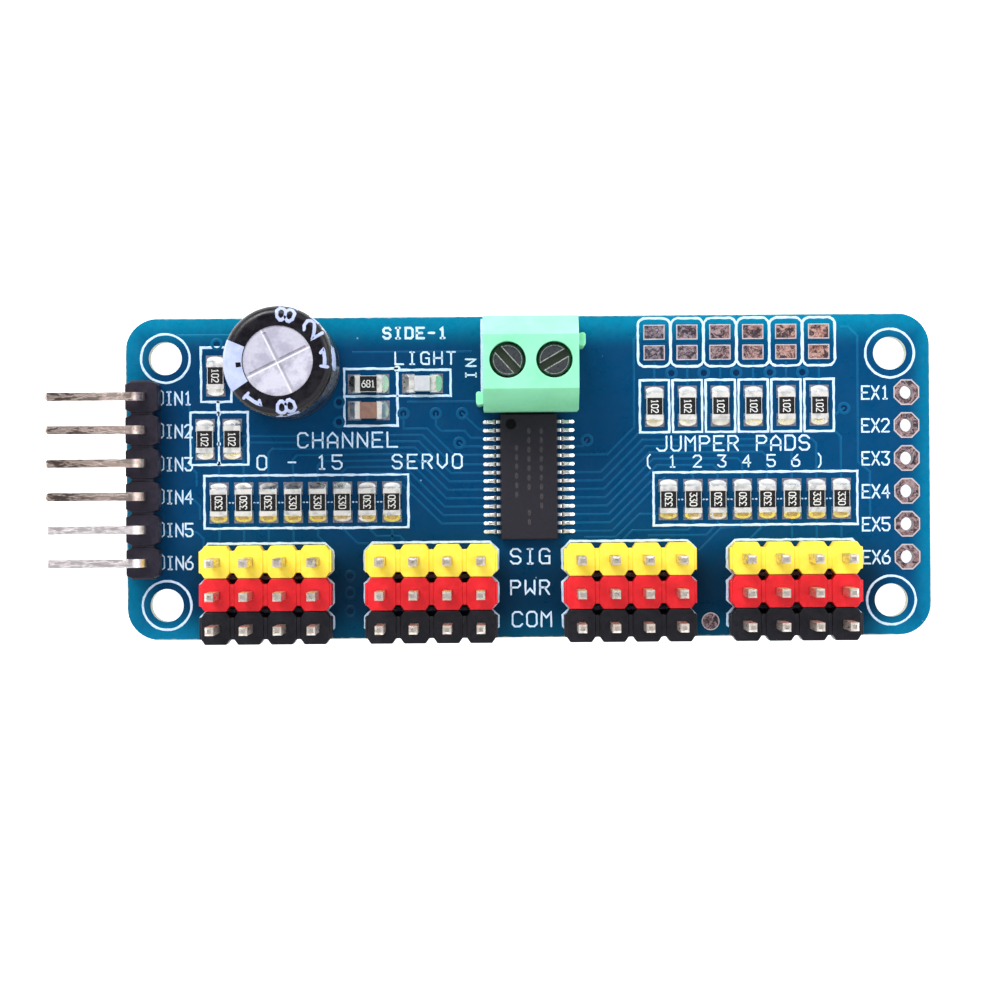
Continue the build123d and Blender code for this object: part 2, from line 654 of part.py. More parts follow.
# The body is moulded around the leads, the paddle and the die, with drafted sides.
dimple_x = IC_X - IC_WIDTH / 2 + DIMPLE_IN_X
dimple_y = IC_Y + IC_LENGTH / 2 - DIMPLE_IN_Y
with BuildPart() as driver_ic_body:
    with BuildSketch(Plane(origin=(IC_X, IC_Y, lead_plane_z))) as mould_line:
        Rectangle(IC_WIDTH, IC_LENGTH)
    extrude(amount=IC_HEIGHT - IC_LEAD_PLANE, taper=IC_DRAFT)
    extrude(mould_line.sketch, amount=IC_STANDOFF - IC_LEAD_PLANE, taper=IC_DRAFT)
    with Locations((dimple_x, dimple_y, BOARD_THICK + IC_HEIGHT)):
        Cylinder(DIMPLE_RADIUS, DIMPLE_DEPTH, align=CENTRED_TOP, mode=Mode.SUBTRACT)
    add(driver_ic_leads.part, mode=Mode.SUBTRACT)
    add(driver_ic_paddle.part, mode=Mode.SUBTRACT)
    add(driver_ic_die.part, mode=Mode.SUBTRACT)
driver_ic_body.part.label = "driver_ic_body"
export_step(driver_ic_body.part, "parts/driver_ic_body.step")


# ---------------------------------------------------------------- chip resistors and capacitor
def chip_blocks(spots, height):
    """Plain ceramic blocks, lifted by the thickness of their end metal."""
    with BuildPart(Plane.XY.offset(BOARD_THICK + END_SKIN)) as blocks:
        with Locations(*spots):
            Box(CHIP_WIDTH, CHIP_LENGTH, height, align=CENTRED_BASE)
    return blocks


def chip_ends(spots, blocks, height):
    """Metal caps wrapped around both ends of each block."""
    cap_y = CHIP_LENGTH / 2 + END_SKIN - END_CAP / 2
    with BuildPart() as ends:
        with Locations(*spots):
            with Locations((0, cap_y, BOARD_THICK), (0, -cap_y, BOARD_THICK)):
                Box(
                    CHIP_WIDTH + 2 * END_SKIN,
                    END_CAP,
                    height + 2 * END_SKIN,
                    align=CENTRED_BASE,
                )
        add(blocks.part, mode=Mode.SUBTRACT)
    return ends


def chip_coats(spots, height):
    """The dark glass coat on top of each block, between its metal ends."""
    with BuildPart(Plane.XY.offset(BOARD_THICK + END_SKIN + height)) as coats:
        with Locations(*spots):
            Box(COAT_WIDTH, COAT_LENGTH, COAT_THICK, align=CENTRED_BASE)
    return coats


resistor_groups = {
    "series_resistor": series_spots,
    "pull_resistor": pull_spots,
    "lamp_resistor": lamp_resistor_spots,
}
for group, spots in resistor_groups.items():
    blocks = chip_blocks(spots, RESISTOR_HEIGHT)
    blocks.part.label = f"{group}_blocks"
    export_step(blocks.part, f"parts/{group}_blocks.step")
    ends = chip_ends(spots, blocks, RESISTOR_HEIGHT)
    ends.part.label = f"{group}_ends"
    export_step(ends.part, f"parts/{group}_ends.step")
    coats = chip_coats(spots, RESISTOR_HEIGHT)
    coats.part.label = f"{group}_coats"
    export_step(coats.part, f"parts/{group}_coats.step")

chip_capacitor_block = chip_blocks(chip_capacitor_spots, CHIP_CAPACITOR_HEIGHT)
chip_capacitor_block.part.label = "chip_capacitor_block"
export_step(chip_capacitor_block.part, "parts/chip_capacitor_block.step")
chip_capacitor_ends = chip_ends(chip_capacitor_spots, chip_capacitor_block, CHIP_CAPACITOR_HEIGHT)
chip_capacitor_ends.part.label = "chip_capacitor_ends"
export_step(chip_capacitor_ends.part, "parts/chip_capacitor_ends.step")


# ---------------------------------------------------------------- power lamp
lamp_substrate = chip_blocks(lamp_spots, LAMP_SUBSTRATE)
lamp_substrate.part.label = "lamp_substrate"
export_step(lamp_substrate.part, "parts/lamp_substrate.step")
lamp_ends = chip_ends(lamp_spots, lamp_substrate, LAMP_SUBSTRATE)
lamp_ends.part.label = "lamp_ends"
export_step(lamp_ends.part, "parts/lamp_ends.step")

lamp_plane = Plane(origin=(LAMP_X, LAMP_ROW_Y, BOARD_THICK + END_SKIN + LAMP_SUBSTRATE))
with BuildPart(lamp_plane) as lamp_die:
    Box(LAMP_DIE, LAMP_DIE, LAMP_DIE / 2, align=CENTRED_BASE)
lamp_die.part.label = "lamp_die"
export_step(lamp_die.part, "parts/lamp_die.step")

with BuildPart(lamp_plane) as lamp_lens:
    with BuildSketch(lamp_plane):
        Rectangle(LAMP_LENS_LENGTH, CHIP_WIDTH)
    extrude(amount=LAMP_LENS_HEIGHT, taper=6)
    Box(LAMP_DIE, LAMP_DIE, LAMP_DIE / 2, align=CENTRED_BASE, mode=Mode.SUBTRACT)
lamp_lens.part.label = "lamp_lens"
export_step(lamp_lens.part, "parts/lamp_lens.step")


# ---------------------------------------------------------------- solder joints
def solder_joint(hole_radius, pad_radius, tip_radius):
    """One joint: a plug through the board and a hollow-sided cone below it."""
    middle_radius = tip_radius + SOLDER_WAIST * (pad_radius - tip_radius)
    with BuildPart() as joint:
        with BuildSketch(Plane.XZ):
            with BuildLine():
                Polyline((0, BOARD_THICK), (hole_radius, BOARD_THICK), (hole_radius, 0), (pad_radius, 0))
                ThreePointArc(
                    (pad_radius, 0),
                    (middle_radius, -SOLDER_WAIST * SOLDER_HEIGHT),
                    (tip_radius, -SOLDER_HEIGHT),
                )
                Polyline((tip_radius, -SOLDER_HEIGHT), (0, -SOLDER_HEIGHT), (0, BOARD_THICK))
            make_face()
        revolve(axis=Axis.Z)
    return joint.part


pin_joint = solder_joint(PIN_HOLE / 2, SOLDER_PAD_RADIUS, SOLDER_TIP_RADIUS)
tail_joint = solder_joint(TAIL_HOLE / 2, TAIL_PAD_RADIUS, TAIL_TIP_RADIUS)
lead_joint = solder_joint(CAN_LEAD_HOLE / 2, LEAD_PAD_RADIUS, LEAD_TIP_RADIUS)

with BuildPart() as servo_solder:
    with Locations(*servo_pin_spots):
        add(pin_joint)
    with BuildSketch(Plane.XY.offset(-SOLDER_HEIGHT)):
        with Locations(*servo_pin_spots):
            Rectangle(PIN_SIZE, PIN_SIZE)
    extrude(amount=SOLDER_HEIGHT + BOARD_THICK, mode=Mode.SUBTRACT)
servo_solder.part.label = "servo_solder"
export_step(servo_solder.part, "parts/servo_solder.step")

with BuildPart() as control_solder:
    with Locations(*control_pin_spots):
        add(pin_joint)
    with BuildSketch(Plane.XY.offset(-SOLDER_HEIGHT)):
        with Locations(*control_pin_spots):
            Rectangle(PIN_SIZE, PIN_SIZE)
    extrude(amount=SOLDER_HEIGHT + BOARD_THICK, mode=Mode.SUBTRACT)
control_solder.part.label = "control_solder"
export_step(control_solder.part, "parts/control_solder.step")

with BuildPart() as terminal_solder:
    with Locations(*tail_spots):
        add(tail_joint)
    with BuildSketch(Plane.XY.offset(-SOLDER_HEIGHT)):
        with Locations(*tail_spots):
            Rectangle(TAIL_PIN_WIDTH, TAIL_THICK)
    extrude(amount=SOLDER_HEIGHT + BOARD_THICK, mode=Mode.SUBTRACT)
terminal_solder.part.label = "terminal_solder"
export_step(terminal_solder.part, "parts/terminal_solder.step")

with BuildPart() as capacitor_solder:
    with Locations(*can_lead_spots):
        add(lead_joint)
    with BuildSketch(Plane.XY.offset(-SOLDER_HEIGHT)):
        with Locations(*can_lead_spots):
            Circle(CAN_LEAD_DIAMETER / 2)
    extrude(amount=SOLDER_HEIGHT + BOARD_THICK, mode=Mode.SUBTRACT)
capacitor_solder.part.label = "capacitor_solder"
export_step(capacitor_solder.part, "parts/capacitor_solder.step")
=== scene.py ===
"""Looks of the servo driver board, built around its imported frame.

Lengths are millimetres until a mesh is made."""
import json
import math
import random

import bpy
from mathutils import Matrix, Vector

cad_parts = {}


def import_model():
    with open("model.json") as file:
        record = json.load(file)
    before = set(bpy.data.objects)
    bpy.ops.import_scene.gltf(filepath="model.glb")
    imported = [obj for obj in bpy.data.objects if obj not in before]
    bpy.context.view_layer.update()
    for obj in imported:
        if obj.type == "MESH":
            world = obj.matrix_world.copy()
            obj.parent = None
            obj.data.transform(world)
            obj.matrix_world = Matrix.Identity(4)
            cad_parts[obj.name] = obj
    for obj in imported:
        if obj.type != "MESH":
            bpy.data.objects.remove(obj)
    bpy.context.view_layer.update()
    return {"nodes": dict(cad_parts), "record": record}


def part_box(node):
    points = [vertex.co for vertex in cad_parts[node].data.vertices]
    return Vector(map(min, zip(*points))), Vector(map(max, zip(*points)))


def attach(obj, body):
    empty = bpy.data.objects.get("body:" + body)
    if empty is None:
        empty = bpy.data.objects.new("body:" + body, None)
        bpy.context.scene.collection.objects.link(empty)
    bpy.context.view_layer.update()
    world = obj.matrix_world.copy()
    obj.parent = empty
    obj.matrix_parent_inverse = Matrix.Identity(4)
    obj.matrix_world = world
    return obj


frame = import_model()
nodes = frame["nodes"]
random.seed(20)

MM = 0.001


def box_mm(node):
    """Lowest and highest corner of a node, in millimetres."""
    low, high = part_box(node)
    return low / MM, high / MM


def middle_mm(node):
    low, high = box_mm(node)
    return (low + high) / 2


# ------------ places read from the frame
board_low, board_high = box_mm("circuit_board")
BOARD_TOP = board_high.z
PITCH = 2.54
mount_holes = next(m for m in frame["record"]["mounts"] if m["name"] == "mounting_holes")
HOLE_X = mount_holes["dims"]["spacing_x_mm"] / 2
HOLE_Y = mount_holes["dims"]["spacing_y_mm"] / 2
can_low, can_high = box_mm("capacitor_sleeve")
can_middle = (can_low + can_high) / 2
CAN_RADIUS = (can_high.x - can_low.x) / 2
VENT_ANGLE = 26
ic_low, ic_high = box_mm("driver_ic_body")
ic_middle = (ic_low + ic_high) / 2
LEAD_PITCH = 0.65
lead_rows = [ic_middle.y + LEAD_PITCH * (6.5 - i) for i in range(14)]
terminal_low, terminal_high = box_mm("terminal_housing")
control_middle = middle_mm("control_header_housing")
expansion_middle = middle_mm("expansion_pads")
control_rows = [control_middle.y + PITCH * (2.5 - i) for i in range(6)]
block_middles = [middle_mm(f"power_housing_{n}") for n in (1, 2, 3, 4)]
SERIES_Y = middle_mm("series_resistor_blocks").y
series_low, series_high = box_mm("series_resistor_blocks")
SERIES_PITCH = 1.905
CHIP_HALF_WIDTH = 0.625
CHIP_HALF_LENGTH = 1.0
series_left = [series_low.x + CHIP_HALF_WIDTH + SERIES_PITCH * i for i in range(8)]
series_right = [series_high.x - CHIP_HALF_WIDTH - SERIES_PITCH * (7 - i) for i in range(8)]
address_middle = middle_mm("address_pads")
address_columns = [address_middle.x + PITCH * (i - 2.5) for i in range(6)]
pull_low, pull_high = box_mm("pull_resistor_blocks")
BUS_Y = pull_low.y + CHIP_HALF_LENGTH
bus_left = pull_low.x + CHIP_HALF_WIDTH
BUS_SPACING = 2.1
bus_middle = bus_left + BUS_SPACING / 2
# The two bus resistors side by side, and the enable resistor by itself
pull_places = (
    (bus_left, BUS_Y), (bus_left + BUS_SPACING, BUS_Y), (-24.06, pull_high.y - CHIP_HALF_LENGTH)
)
ADDRESS_RESISTOR_Y = 5.55
lamp_resistor = middle_mm("lamp_resistor_blocks")
chip_capacitor = middle_mm("chip_capacitor_block")
lamp = middle_mm("lamp_substrate")


# ------------ material helpers
def srgb(r, g, b):
    """A colour given as 0-255 screen values, in the linear values that shaders use."""
    def linear(v):
        v /= 255
        return v / 12.92 if v <= 0.04045 else ((v + 0.055) / 1.055) ** 2.4
    return (linear(r), linear(g), linear(b), 1.0)


class Shader:
    """A material's node tree, with short calls for the nodes used here."""

    def __init__(self, name, roughness=0.5, metallic=0.0, specular=0.5):
        self.material = bpy.data.materials.new(name)
        self.material.use_nodes = True
        self.nodes = self.material.node_tree.nodes
        self.links = self.material.node_tree.links
        self.bsdf = self.nodes["Principled BSDF"]
        self.set("Roughness", roughness)
        self.set("Metallic", metallic)
        self.set("Specular IOR Level", specular)
        self.place = self.nodes.new("ShaderNodeTexCoord").outputs["Object"]

    def feed(self, socket, value):
        """Links a node's output to the socket, or sets it to a plain value."""
        if isinstance(value, bpy.types.NodeSocket):
            self.links.new(value, socket)
        else:
            socket.default_value = value

    def set(self, name, value):
        self.feed(self.bsdf.inputs[name], value)

    def add(self, kind, inputs, output=0):
        """A new node with the given inputs; what comes back is one of its outputs."""
        node = self.nodes.new("ShaderNode" + kind)
        for name, value in inputs.items():
            self.feed(node.inputs[name], value)
        return node.outputs[output]

    def noise(self, size_mm, detail=3.0, rough=0.55, stretch=None, distort=0.0):
        """Noise with features about size_mm across, from 0 to 1."""
        place = self.place
        if stretch:
            place = self.add("Mapping", {"Vector": place, "Scale": stretch})
        inputs = {"Vector": place, "Scale": 1 / (size_mm * MM), "Detail": detail}
        return self.add("TexNoise", inputs | {"Roughness": rough, "Distortion": distort})

    def cells(self, size_mm):
        """Cell pattern with cells about size_mm across: the distance from each cell's middle."""
        return self.add("TexVoronoi", {"Vector": self.place, "Scale": 1 / (size_mm * MM)})

    def math(self, operation, a, b=0.0):
        result = self.add("Math", {0: a, 1: b})
        result.node.operation = operation
        return result

    def times(self, a, b):
        return self.math("MULTIPLY", a, b)

    def minus(self, a, b):
        return self.math("SUBTRACT", a, b)

    def step(self, value, low, high, from_0=0.0, to_1=1.0):
        """Value remapped smoothly from low..high to from_0..to_1, and held beyond."""
        result = self.add("MapRange", {0: value, 1: low, 2: high, 3: from_0, 4: to_1})
        result.node.interpolation_type = "SMOOTHSTEP"
        return result

    def mix(self, share, a, b):
        """Colour a turned into colour b by share; plain colours are 0-255 screen values."""
        a, b = [srgb(*colour) if isinstance(colour, tuple) else colour for colour in (a, b)]
        node = self.add("Mix", {0: share, 6: a, 7: b}).node
        node.data_type = "RGBA"
        return node.outputs[2]

    def axis(self, name, source=None):
        """The X, Y or Z part of a vector, or of the place on the piece."""
        return self.add("SeparateXYZ", {0: source or self.place}, name)

    def glow(self, weight, reach_mm):
        """Lets light into the material, as far as reach_mm."""
        self.set("Subsurface Weight", weight)
        self.set("Subsurface Radius", (reach_mm * MM, reach_mm * MM, reach_mm * MM))
        self.set("Subsurface Scale", 1.0)

    def finish(self, colour, relief, depth_mm, roughness=None):
        """Gives the material its colour, its relief and, where it varies, its roughness."""
        self.set("Base Color", colour)
        if roughness:
            self.set("Roughness", roughness)
        bump = {"Strength": 1.0, "Distance": depth_mm * MM, "Height": relief}
        self.set("Normal", self.add("Bump", bump))
        return self.material


# ------------ materials
def mask_shader(name, deep, edge, lift, bare_sides=1.0):
    """Blue solder mask over glass epoxy: glossy, paler towards the edges where light comes through, with
    painted header shadow over its lower part.
    """
    s = Shader(name, roughness=0.3, specular=0.1)
    x = s.axis("X")
    y = s.axis("Y")
    from_left = s.minus(x, board_low.x * MM)
    from_right = s.minus(board_high.x * MM, x)
    from_back = s.minus(y, board_low.y * MM)
    from_front = s.minus(board_high.y * MM, y)
    near_end = s.math("MINIMUM", from_left, s.times(from_right, 1.5))
    near_side = s.math("MINIMUM", from_back, from_front)
    near_edge = s.math("MINIMUM", near_end, near_side)
    rim = s.step(near_edge, 0.0, 2.8 * MM, 1.0, 0.0)
    body = s.mix(s.step(x, -5 * MM, 31 * MM, 0.0, 0.75), deep, lift)
    cloud = s.noise(9.0, detail=2.0)
    body = s.mix(s.step(cloud, 0.35, 0.7, 0.0, 0.35), body, lift)
    # Painted shadow of the headers over the lower part of the board, away from its ends
    lower = s.times(s.step(y, -3.5 * MM, -8.0 * MM), s.step(near_end, 3.0 * MM, 7.0 * MM))
    body = s.mix(s.times(lower, 0.75), body, (0, 34, 54))
    # The pale edge is dimmed by the same painted shadow
    rim_shadow = s.times(s.step(y, -3.0 * MM, -8.0 * MM), s.step(near_end, 4.0 * MM, 9.0 * MM))
    rim = s.times(rim, s.minus(1.0, s.times(rim_shadow, 0.75)))
    back_lit = s.step(y, 9.0 * MM, 12.5 * MM, 0.0, 0.35)
    body = s.mix(rim, body, s.mix(back_lit, edge, (0, 138, 172)))
    grain = s.noise(0.35, detail=4.0)
    body = s.mix(s.step(grain, 0.3, 0.75, 0.0, 0.16), body, (2, 34, 62))
    dust = s.step(s.cells(1.7), 0.025, 0.05, 1.0, 0.0)
    dust = s.times(dust, s.step(s.noise(3.5, detail=1.0), 0.5, 0.62))
    body = s.mix(s.times(dust, 0.5), body, (170, 205, 225))
    laminate = s.mix(s.noise(0.3, stretch=(1, 1, 5)), (208, 214, 196), (168, 166, 130))
    margin = s.math("ADD", near_edge, s.times(s.noise(0.5), 0.0002))
    bare_rim = s.step(margin, 0.12 * MM, 0.2 * MM, 1.0, 0.0)
    up = s.axis("Z", s.add("NewGeometry", {}, "True Normal"))
    flat = s.step(s.math("ABSOLUTE", up), 0.4, 0.6)
    bare = s.math("MAXIMUM", s.minus(1.0, flat), s.times(bare_rim, 0.55))
    bare = s.times(bare, bare_sides)
    dull = s.step(s.noise(1.3, detail=5.0), 0.3, 0.7, 0.26, 0.4)
    return s.finish(s.mix(bare, body, laminate), s.noise(0.6, detail=5.0), 0.012, dull)


def silk_material():
    """White legend ink, with the mask showing through where it is worn."""
    s = Shader("silk_ink", roughness=0.6, specular=0.2)
    worn = s.step(s.noise(0.12, detail=4.0), 0.42, 0.72, 0.0, 0.5)
    return s.finish(s.mix(worn, (206, 226, 246), (124, 176, 216)), s.noise(0.05), 0.006)


def moulded_plastic(name, colour, shade, roughness=0.42, specular=0.4, glow=0.0, size=0.9):
    """Moulded plastic: slightly uneven colour, a fine satin texture and faint flow marks."""
    s = Shader(name, roughness=roughness, specular=specular)
    uneven = s.noise(size, detail=4.0, distort=0.4)
    base = s.mix(s.step(uneven, 0.3, 0.75), colour, shade)
    specks = s.step(s.noise(0.07, detail=2.0), 0.62, 0.75, 0.0, 0.35)
    if glow:
        s.glow(glow, 0.8)
    dull = s.step(s.noise(0.3, detail=4.0), 0.3, 0.7, roughness - 0.08, roughness + 0.12)
    return s.finish(s.mix(specks, base, shade), s.noise(0.1, detail=5.0), 0.01, dull)


def worn_metal(name, colour, dark, roughness=0.3, stretch=None, size=0.25, pits=0.4, depth=0.008):
    """Plated metal: fine draw marks, dull patches and small dark pits."""
    s = Shader(name, roughness=roughness, metallic=1.0)
    marks = s.noise(size, detail=6.0, stretch=stretch)
    base = s.mix(s.step(marks, 0.35, 0.75, 0.0, 0.8), colour, dark)
    spots = s.step(s.noise(size * 0.6, detail=3.0), 0.64, 0.74, 0.0, pits)
    dull = s.step(marks, 0.25, 0.75, roughness - 0.08, roughness + 0.18)
    return s.finish(s.mix(spots, base, dark), marks, depth, dull)


def control_pin_metal():
    """Tin on the bent pins: streaked and brown towards the tips of the upper four, pale on the last two."""
    s = Shader("control_pin_metal", roughness=0.28, metallic=1.0)
    pale = s.step(s.axis("Y"), -2.0 * MM, -1.4 * MM, 1.0, 0.0)
    tip = s.step(s.axis("X"), control_middle.x * MM - 1.5 * MM, control_middle.x * MM - 6.5 * MM)
    streak = s.step(s.noise(0.3, detail=7.0, rough=0.7, stretch=(0.25, 1, 1)), 0.44, 0.56)
    upper = s.mix(tip, (222, 200, 190), (186, 168, 158))
    upper = s.mix(s.times(streak, s.step(tip, 0.0, 1.0, 0.35, 0.85)), upper, (84, 70, 68))
    lower = s.mix(s.times(streak, 0.25), (250, 240, 240), (190, 170, 168))
    return s.finish(s.mix(pale, upper, lower), streak, 0.005)


def oxidised_copper():
    """Bare copper pads: brown and pink copper with dark tarnish in ragged patches."""
    s = Shader("oxidised_copper", roughness=0.42, metallic=0.6)
    patch = s.noise(0.3, detail=8.0, rough=0.75, distort=0.8)
    x = s.axis("X")
    pink = s.times(s.step(x, 9 * MM, 24 * MM, 0.0, 0.8), s.step(x, 25 * MM, 27 * MM, 1.0, 0.35))
    fresh = s.mix(pink, (152, 140, 150), (210, 164, 146))
    base = s.mix(s.step(patch, 0.42, 0.6), fresh, s.mix(pink, (96, 74, 82), (146, 88, 68)))
    tarnish = s.step(s.noise(0.8, detail=8.0, rough=0.75, distort=1.6), 0.48, 0.54, 0.0, 0.9)
    return s.finish(s.mix(tarnish, base, (36, 34, 48)), patch, 0.02)


def flux_resin():
    """Amber flux left on a fillet: glassy, thicker and darker in places."""
    s = Shader("flux_resin", roughness=0.25, specular=0.4)
    thick = s.noise(0.4, detail=3.0)
    amber = s.mix(s.step(thick, 0.3, 0.7), (214, 192, 136), (178, 150, 92))
    return s.finish(amber, thick, 0.03, s.step(s.noise(0.15), 0.3, 0.7, 0.15, 0.4))


def chip_mould():
    """Moulded epoxy with a fine glass-bead speckle."""
    s = Shader("chip_mould", roughness=0.62, specular=0.28)
    speck = s.step(s.noise(0.05, detail=3.0), 0.5, 0.75)
    base = s.mix(s.noise(0.8), (24, 20, 32), (18, 15, 26))
    return s.finish(s.mix(speck, base, (48, 43, 54)), s.noise(0.06, detail=4.0), 0.012)


def can_top():
    """Mottled aluminium, with painted shade on the half above one scored line, and a painted highlight and
    a painted shade along each line.
    """
    s = Shader("can_metal", roughness=0.4, metallic=0.55, specular=0.4)
    turn = math.radians(VENT_ANGLE)
    x = s.minus(s.axis("X"), can_middle.x * MM)
    y = s.minus(s.axis("Y"), can_middle.y * MM)
    cos_turn, sin_turn = math.cos(turn), math.sin(turn)
    along = s.math("ADD", s.times(x, cos_turn), s.times(y, sin_turn))
    across = s.minus(s.times(y, cos_turn), s.times(x, sin_turn))
    mottle = s.noise(1.0, detail=6.0, rough=0.6)
    base = s.mix(s.step(mottle, 0.34, 0.66), (222, 220, 234), (164, 160, 176))
    # Painted shade on the half above the first scored line
    upper = s.step(across, -0.03 * MM, 0.03 * MM)
    base = s.mix(s.times(upper, 0.28), base, (170, 166, 184))
    # Along each scored line: a painted highlight on one side and painted shade on the other
    for way in (along, across):
        from_highlight = s.math("ABSOLUTE", s.math("ADD", way, 0.13 * MM))
        from_groove_shade = s.math("ABSOLUTE", s.minus(way, 0.02 * MM))
        base = s.mix(s.step(from_groove_shade, 0.05 * MM, 0.14 * MM, 0.4, 0.0), base, (140, 136, 152))
        base = s.mix(s.step(from_highlight, 0.03 * MM, 0.09 * MM, 0.65, 0.0), base, (255, 255, 255))
    return s.finish(base, s.noise(0.5, detail=5.0), 0.02, s.step(mottle, 0.25, 0.75, 0.32, 0.52))


def screw_steel():
    """Blackened screw heads, mottled, with a painted greenish reflection down in the slot."""
    s = Shader("screw_steel", roughness=0.34, metallic=0.9)
    z = s.axis("Z")
    head = terminal_high.z - 0.6
    # Painted greenish reflection down in the slot, below the head's face
    in_slot = s.step(z, (head - 0.35) * MM, (head - 0.05) * MM, 1.0, 0.0)
    wear = s.noise(0.4, detail=6.0, rough=0.7, distort=0.6)
    face = s.mix(s.step(wear, 0.35, 0.75), (92, 94, 98), (44, 46, 50))
    face = s.mix(in_slot, face, s.mix(wear, (104, 112, 96), (58, 66, 60)))
    return s.finish(face, s.noise(0.2, detail=4.0), 0.012, s.step(wear, 0.3, 0.7, 0.28, 0.46))


def lead_metal():
    """Tin plated gull-wing leads, with a painted dark reflection where each one turns down to its foot."""
    s = Shader("chip_leads", roughness=0.3, metallic=1.0)
    out = s.math("ABSOLUTE", s.minus(s.axis("X"), ic_middle.x * MM))
    # Painted dark reflection in the bend where each lead turns down
    bend_reflection = s.times(s.step(out, 2.46 * MM, 2.52 * MM), s.step(out, 2.6 * MM, 2.7 * MM, 1.0, 0.0))
    root = s.step(out, 2.2 * MM, 2.3 * MM, 0.7, 0.0)
    marks = s.noise(0.3, detail=4.0)
    metal = s.mix(s.step(marks, 0.4, 0.75), (255, 254, 250), (206, 200, 196))
    base = s.mix(s.math("MAXIMUM", bend_reflection, root), metal, (54, 50, 58))
    return s.finish(base, marks, 0.006, s.step(marks, 0.3, 0.7, 0.24, 0.4))


def sleeve_material():
    """Black shrink sleeve: glossy, a little wavy where it shrank."""
    s = Shader("shrink_sleeve", roughness=0.25, specular=0.35)
    base = s.mix(s.noise(1.8, detail=3.0), (7, 5, 13), (14, 10, 18))
    return s.finish(base, s.noise(1.4, detail=3.0), 0.05, s.step(s.noise(0.7), 0.3, 0.7, 0.18, 0.36))


def lens_material():
    """Milky clear resin."""
    s = Shader("lamp_resin", roughness=0.18, specular=0.5)
    s.set("Transmission Weight", 0.15)
    s.glow(0.4, 0.3)
    return s.finish(s.mix(s.noise(0.25), (226, 224, 230), (196, 196, 204)), s.noise(0.3), 0.008)


BOARD_DEEP = (0, 56, 96)
BOARD_EDGE = (0, 108, 144)
BOARD_LIFT = (0, 66, 108)
materials = {
    "board_mask": mask_shader("board_mask", BOARD_DEEP, BOARD_EDGE, BOARD_LIFT),
    "lap_mask": mask_shader("lap_mask", BOARD_DEEP, BOARD_EDGE, BOARD_LIFT, bare_sides=0.0),
    "trace_mask": mask_shader("trace_mask", (2, 75, 117), (2, 126, 164), (3, 85, 129)),
    "via_mask": mask_shader("via_mask", (0, 34, 70), (0, 70, 110), (0, 40, 78)),
    "silk_ink": silk_material(),
    "control_pin_metal": control_pin_metal(),
    "can_metal": can_top(),
    "shrink_sleeve": sleeve_material(),
    "screw_steel": screw_steel(),
    "chip_mould": chip_mould(),
    "chip_leads": lead_metal(),
    "lamp_lens": lens_material(),
    "flux_resin": flux_resin(),
    "bare_copper": oxidised_copper(),
}

# Each plastic: its colour, its shade, and what differs from moulded_plastic's usual finish
PLASTICS = {
    "signal_plastic": ((255, 226, 78), (250, 214, 56), {"glow": 0.2}),
    "power_plastic": ((228, 20, 34), (208, 12, 26), {"glow": 0.12}),
    "ground_plastic": ((16, 15, 26), (10, 9, 18), {"specular": 0.3}),
    "control_plastic": ((30, 24, 40), (20, 16, 30), {"specular": 0.3}),
    "terminal_plastic": ((138, 222, 178), (124, 210, 164), {"glow": 0.2, "size": 2.5}),
    "sleeve_print": ((176, 184, 216), (156, 166, 202), {"roughness": 0.3}),
    "seal_rubber": ((34, 32, 34), (22, 22, 24), {"roughness": 0.7}),
    "winding_foil": ((196, 186, 164), (170, 160, 138), {"roughness": 0.6}),
    "resistor_ceramic": ((240, 240, 236), (220, 220, 216), {"size": 0.3}),
    "resistor_coat": ((22, 18, 20), (14, 11, 14), {"roughness": 0.32, "size": 0.3}),
    "digit_ink": ((236, 236, 232), (206, 206, 204), {"roughness": 0.5, "size": 0.1}),
    "capacitor_ceramic": ((142, 106, 93), (122, 92, 81), {"roughness": 0.5, "size": 0.4}),
    "lamp_ceramic": ((150, 220, 190), (120, 196, 160), {"size": 0.3}),
    "lamp_die": ((150, 160, 120), (110, 130, 90), {"size": 0.1}),
    # The next finish is painted shade for the chip's dimple
    "dimple_shade": ((6, 5, 9), (3, 3, 5), {"roughness": 0.5, "specular": 0.1}),
    "etched_mark": ((62, 57, 60), (34, 31, 36), {"roughness": 0.7, "size": 0.08}),
}
for name, (colour, shade, finish) in PLASTICS.items():
    materials[name] = moulded_plastic(name, colour, shade, **finish)

# Each metal: its colour, its dark patches, and what differs from worn_metal's usual finish
METALS = {
    "pin_metal": ((232, 222, 212), (150, 138, 128), {"stretch": (1, 1, 0.12)}),
    # The next finish is painted highlight along the screw slots and head rims
    "slot_highlight": ((236, 244, 236), (176, 196, 180), {"roughness": 0.25, "size": 0.15}),
    "cage_metal": ((216, 212, 206), (150, 146, 140), {}),
    "contact_metal": ((222, 204, 168), (160, 140, 108), {"roughness": 0.32}),
    "silicon": ((96, 100, 120), (60, 64, 84), {"roughness": 0.15}),
    "end_metal": ((254, 252, 248), (216, 208, 202), {"roughness": 0.36, "size": 0.4, "pits": 0.25}),
    "solder": (
        (255, 254, 250), (220, 214, 208), {"roughness": 0.28, "size": 0.5, "pits": 0.25, "depth": 0.02}
    ),
    "land_metal": ((150, 148, 160), (70, 68, 84), {"roughness": 0.4, "size": 0.2}),
    "pad_rim": ((226, 214, 216), (176, 156, 158), {"roughness": 0.45}),
}
for name, (colour, dark, finish) in METALS.items():
    materials[name] = worn_metal(name, colour, dark, **finish)


def dress_node(node, key):
    """Gives a carried-over CAD node its finish."""
    mesh = nodes[node].data
    mesh.materials.clear()
    mesh.materials.append(materials[key])


slot_of = {row["node"]: row["material_slot"] for row in frame["record"]["subparts"]}
finish_of_slot = {"can_sleeve": "shrink_sleeve"}
for node, slot in slot_of.items():
    dress_node(node, finish_of_slot.get(slot, slot))
dress_node("control_header_pins", "control_pin_metal")
dress_node("control_header_housing", "control_plastic")


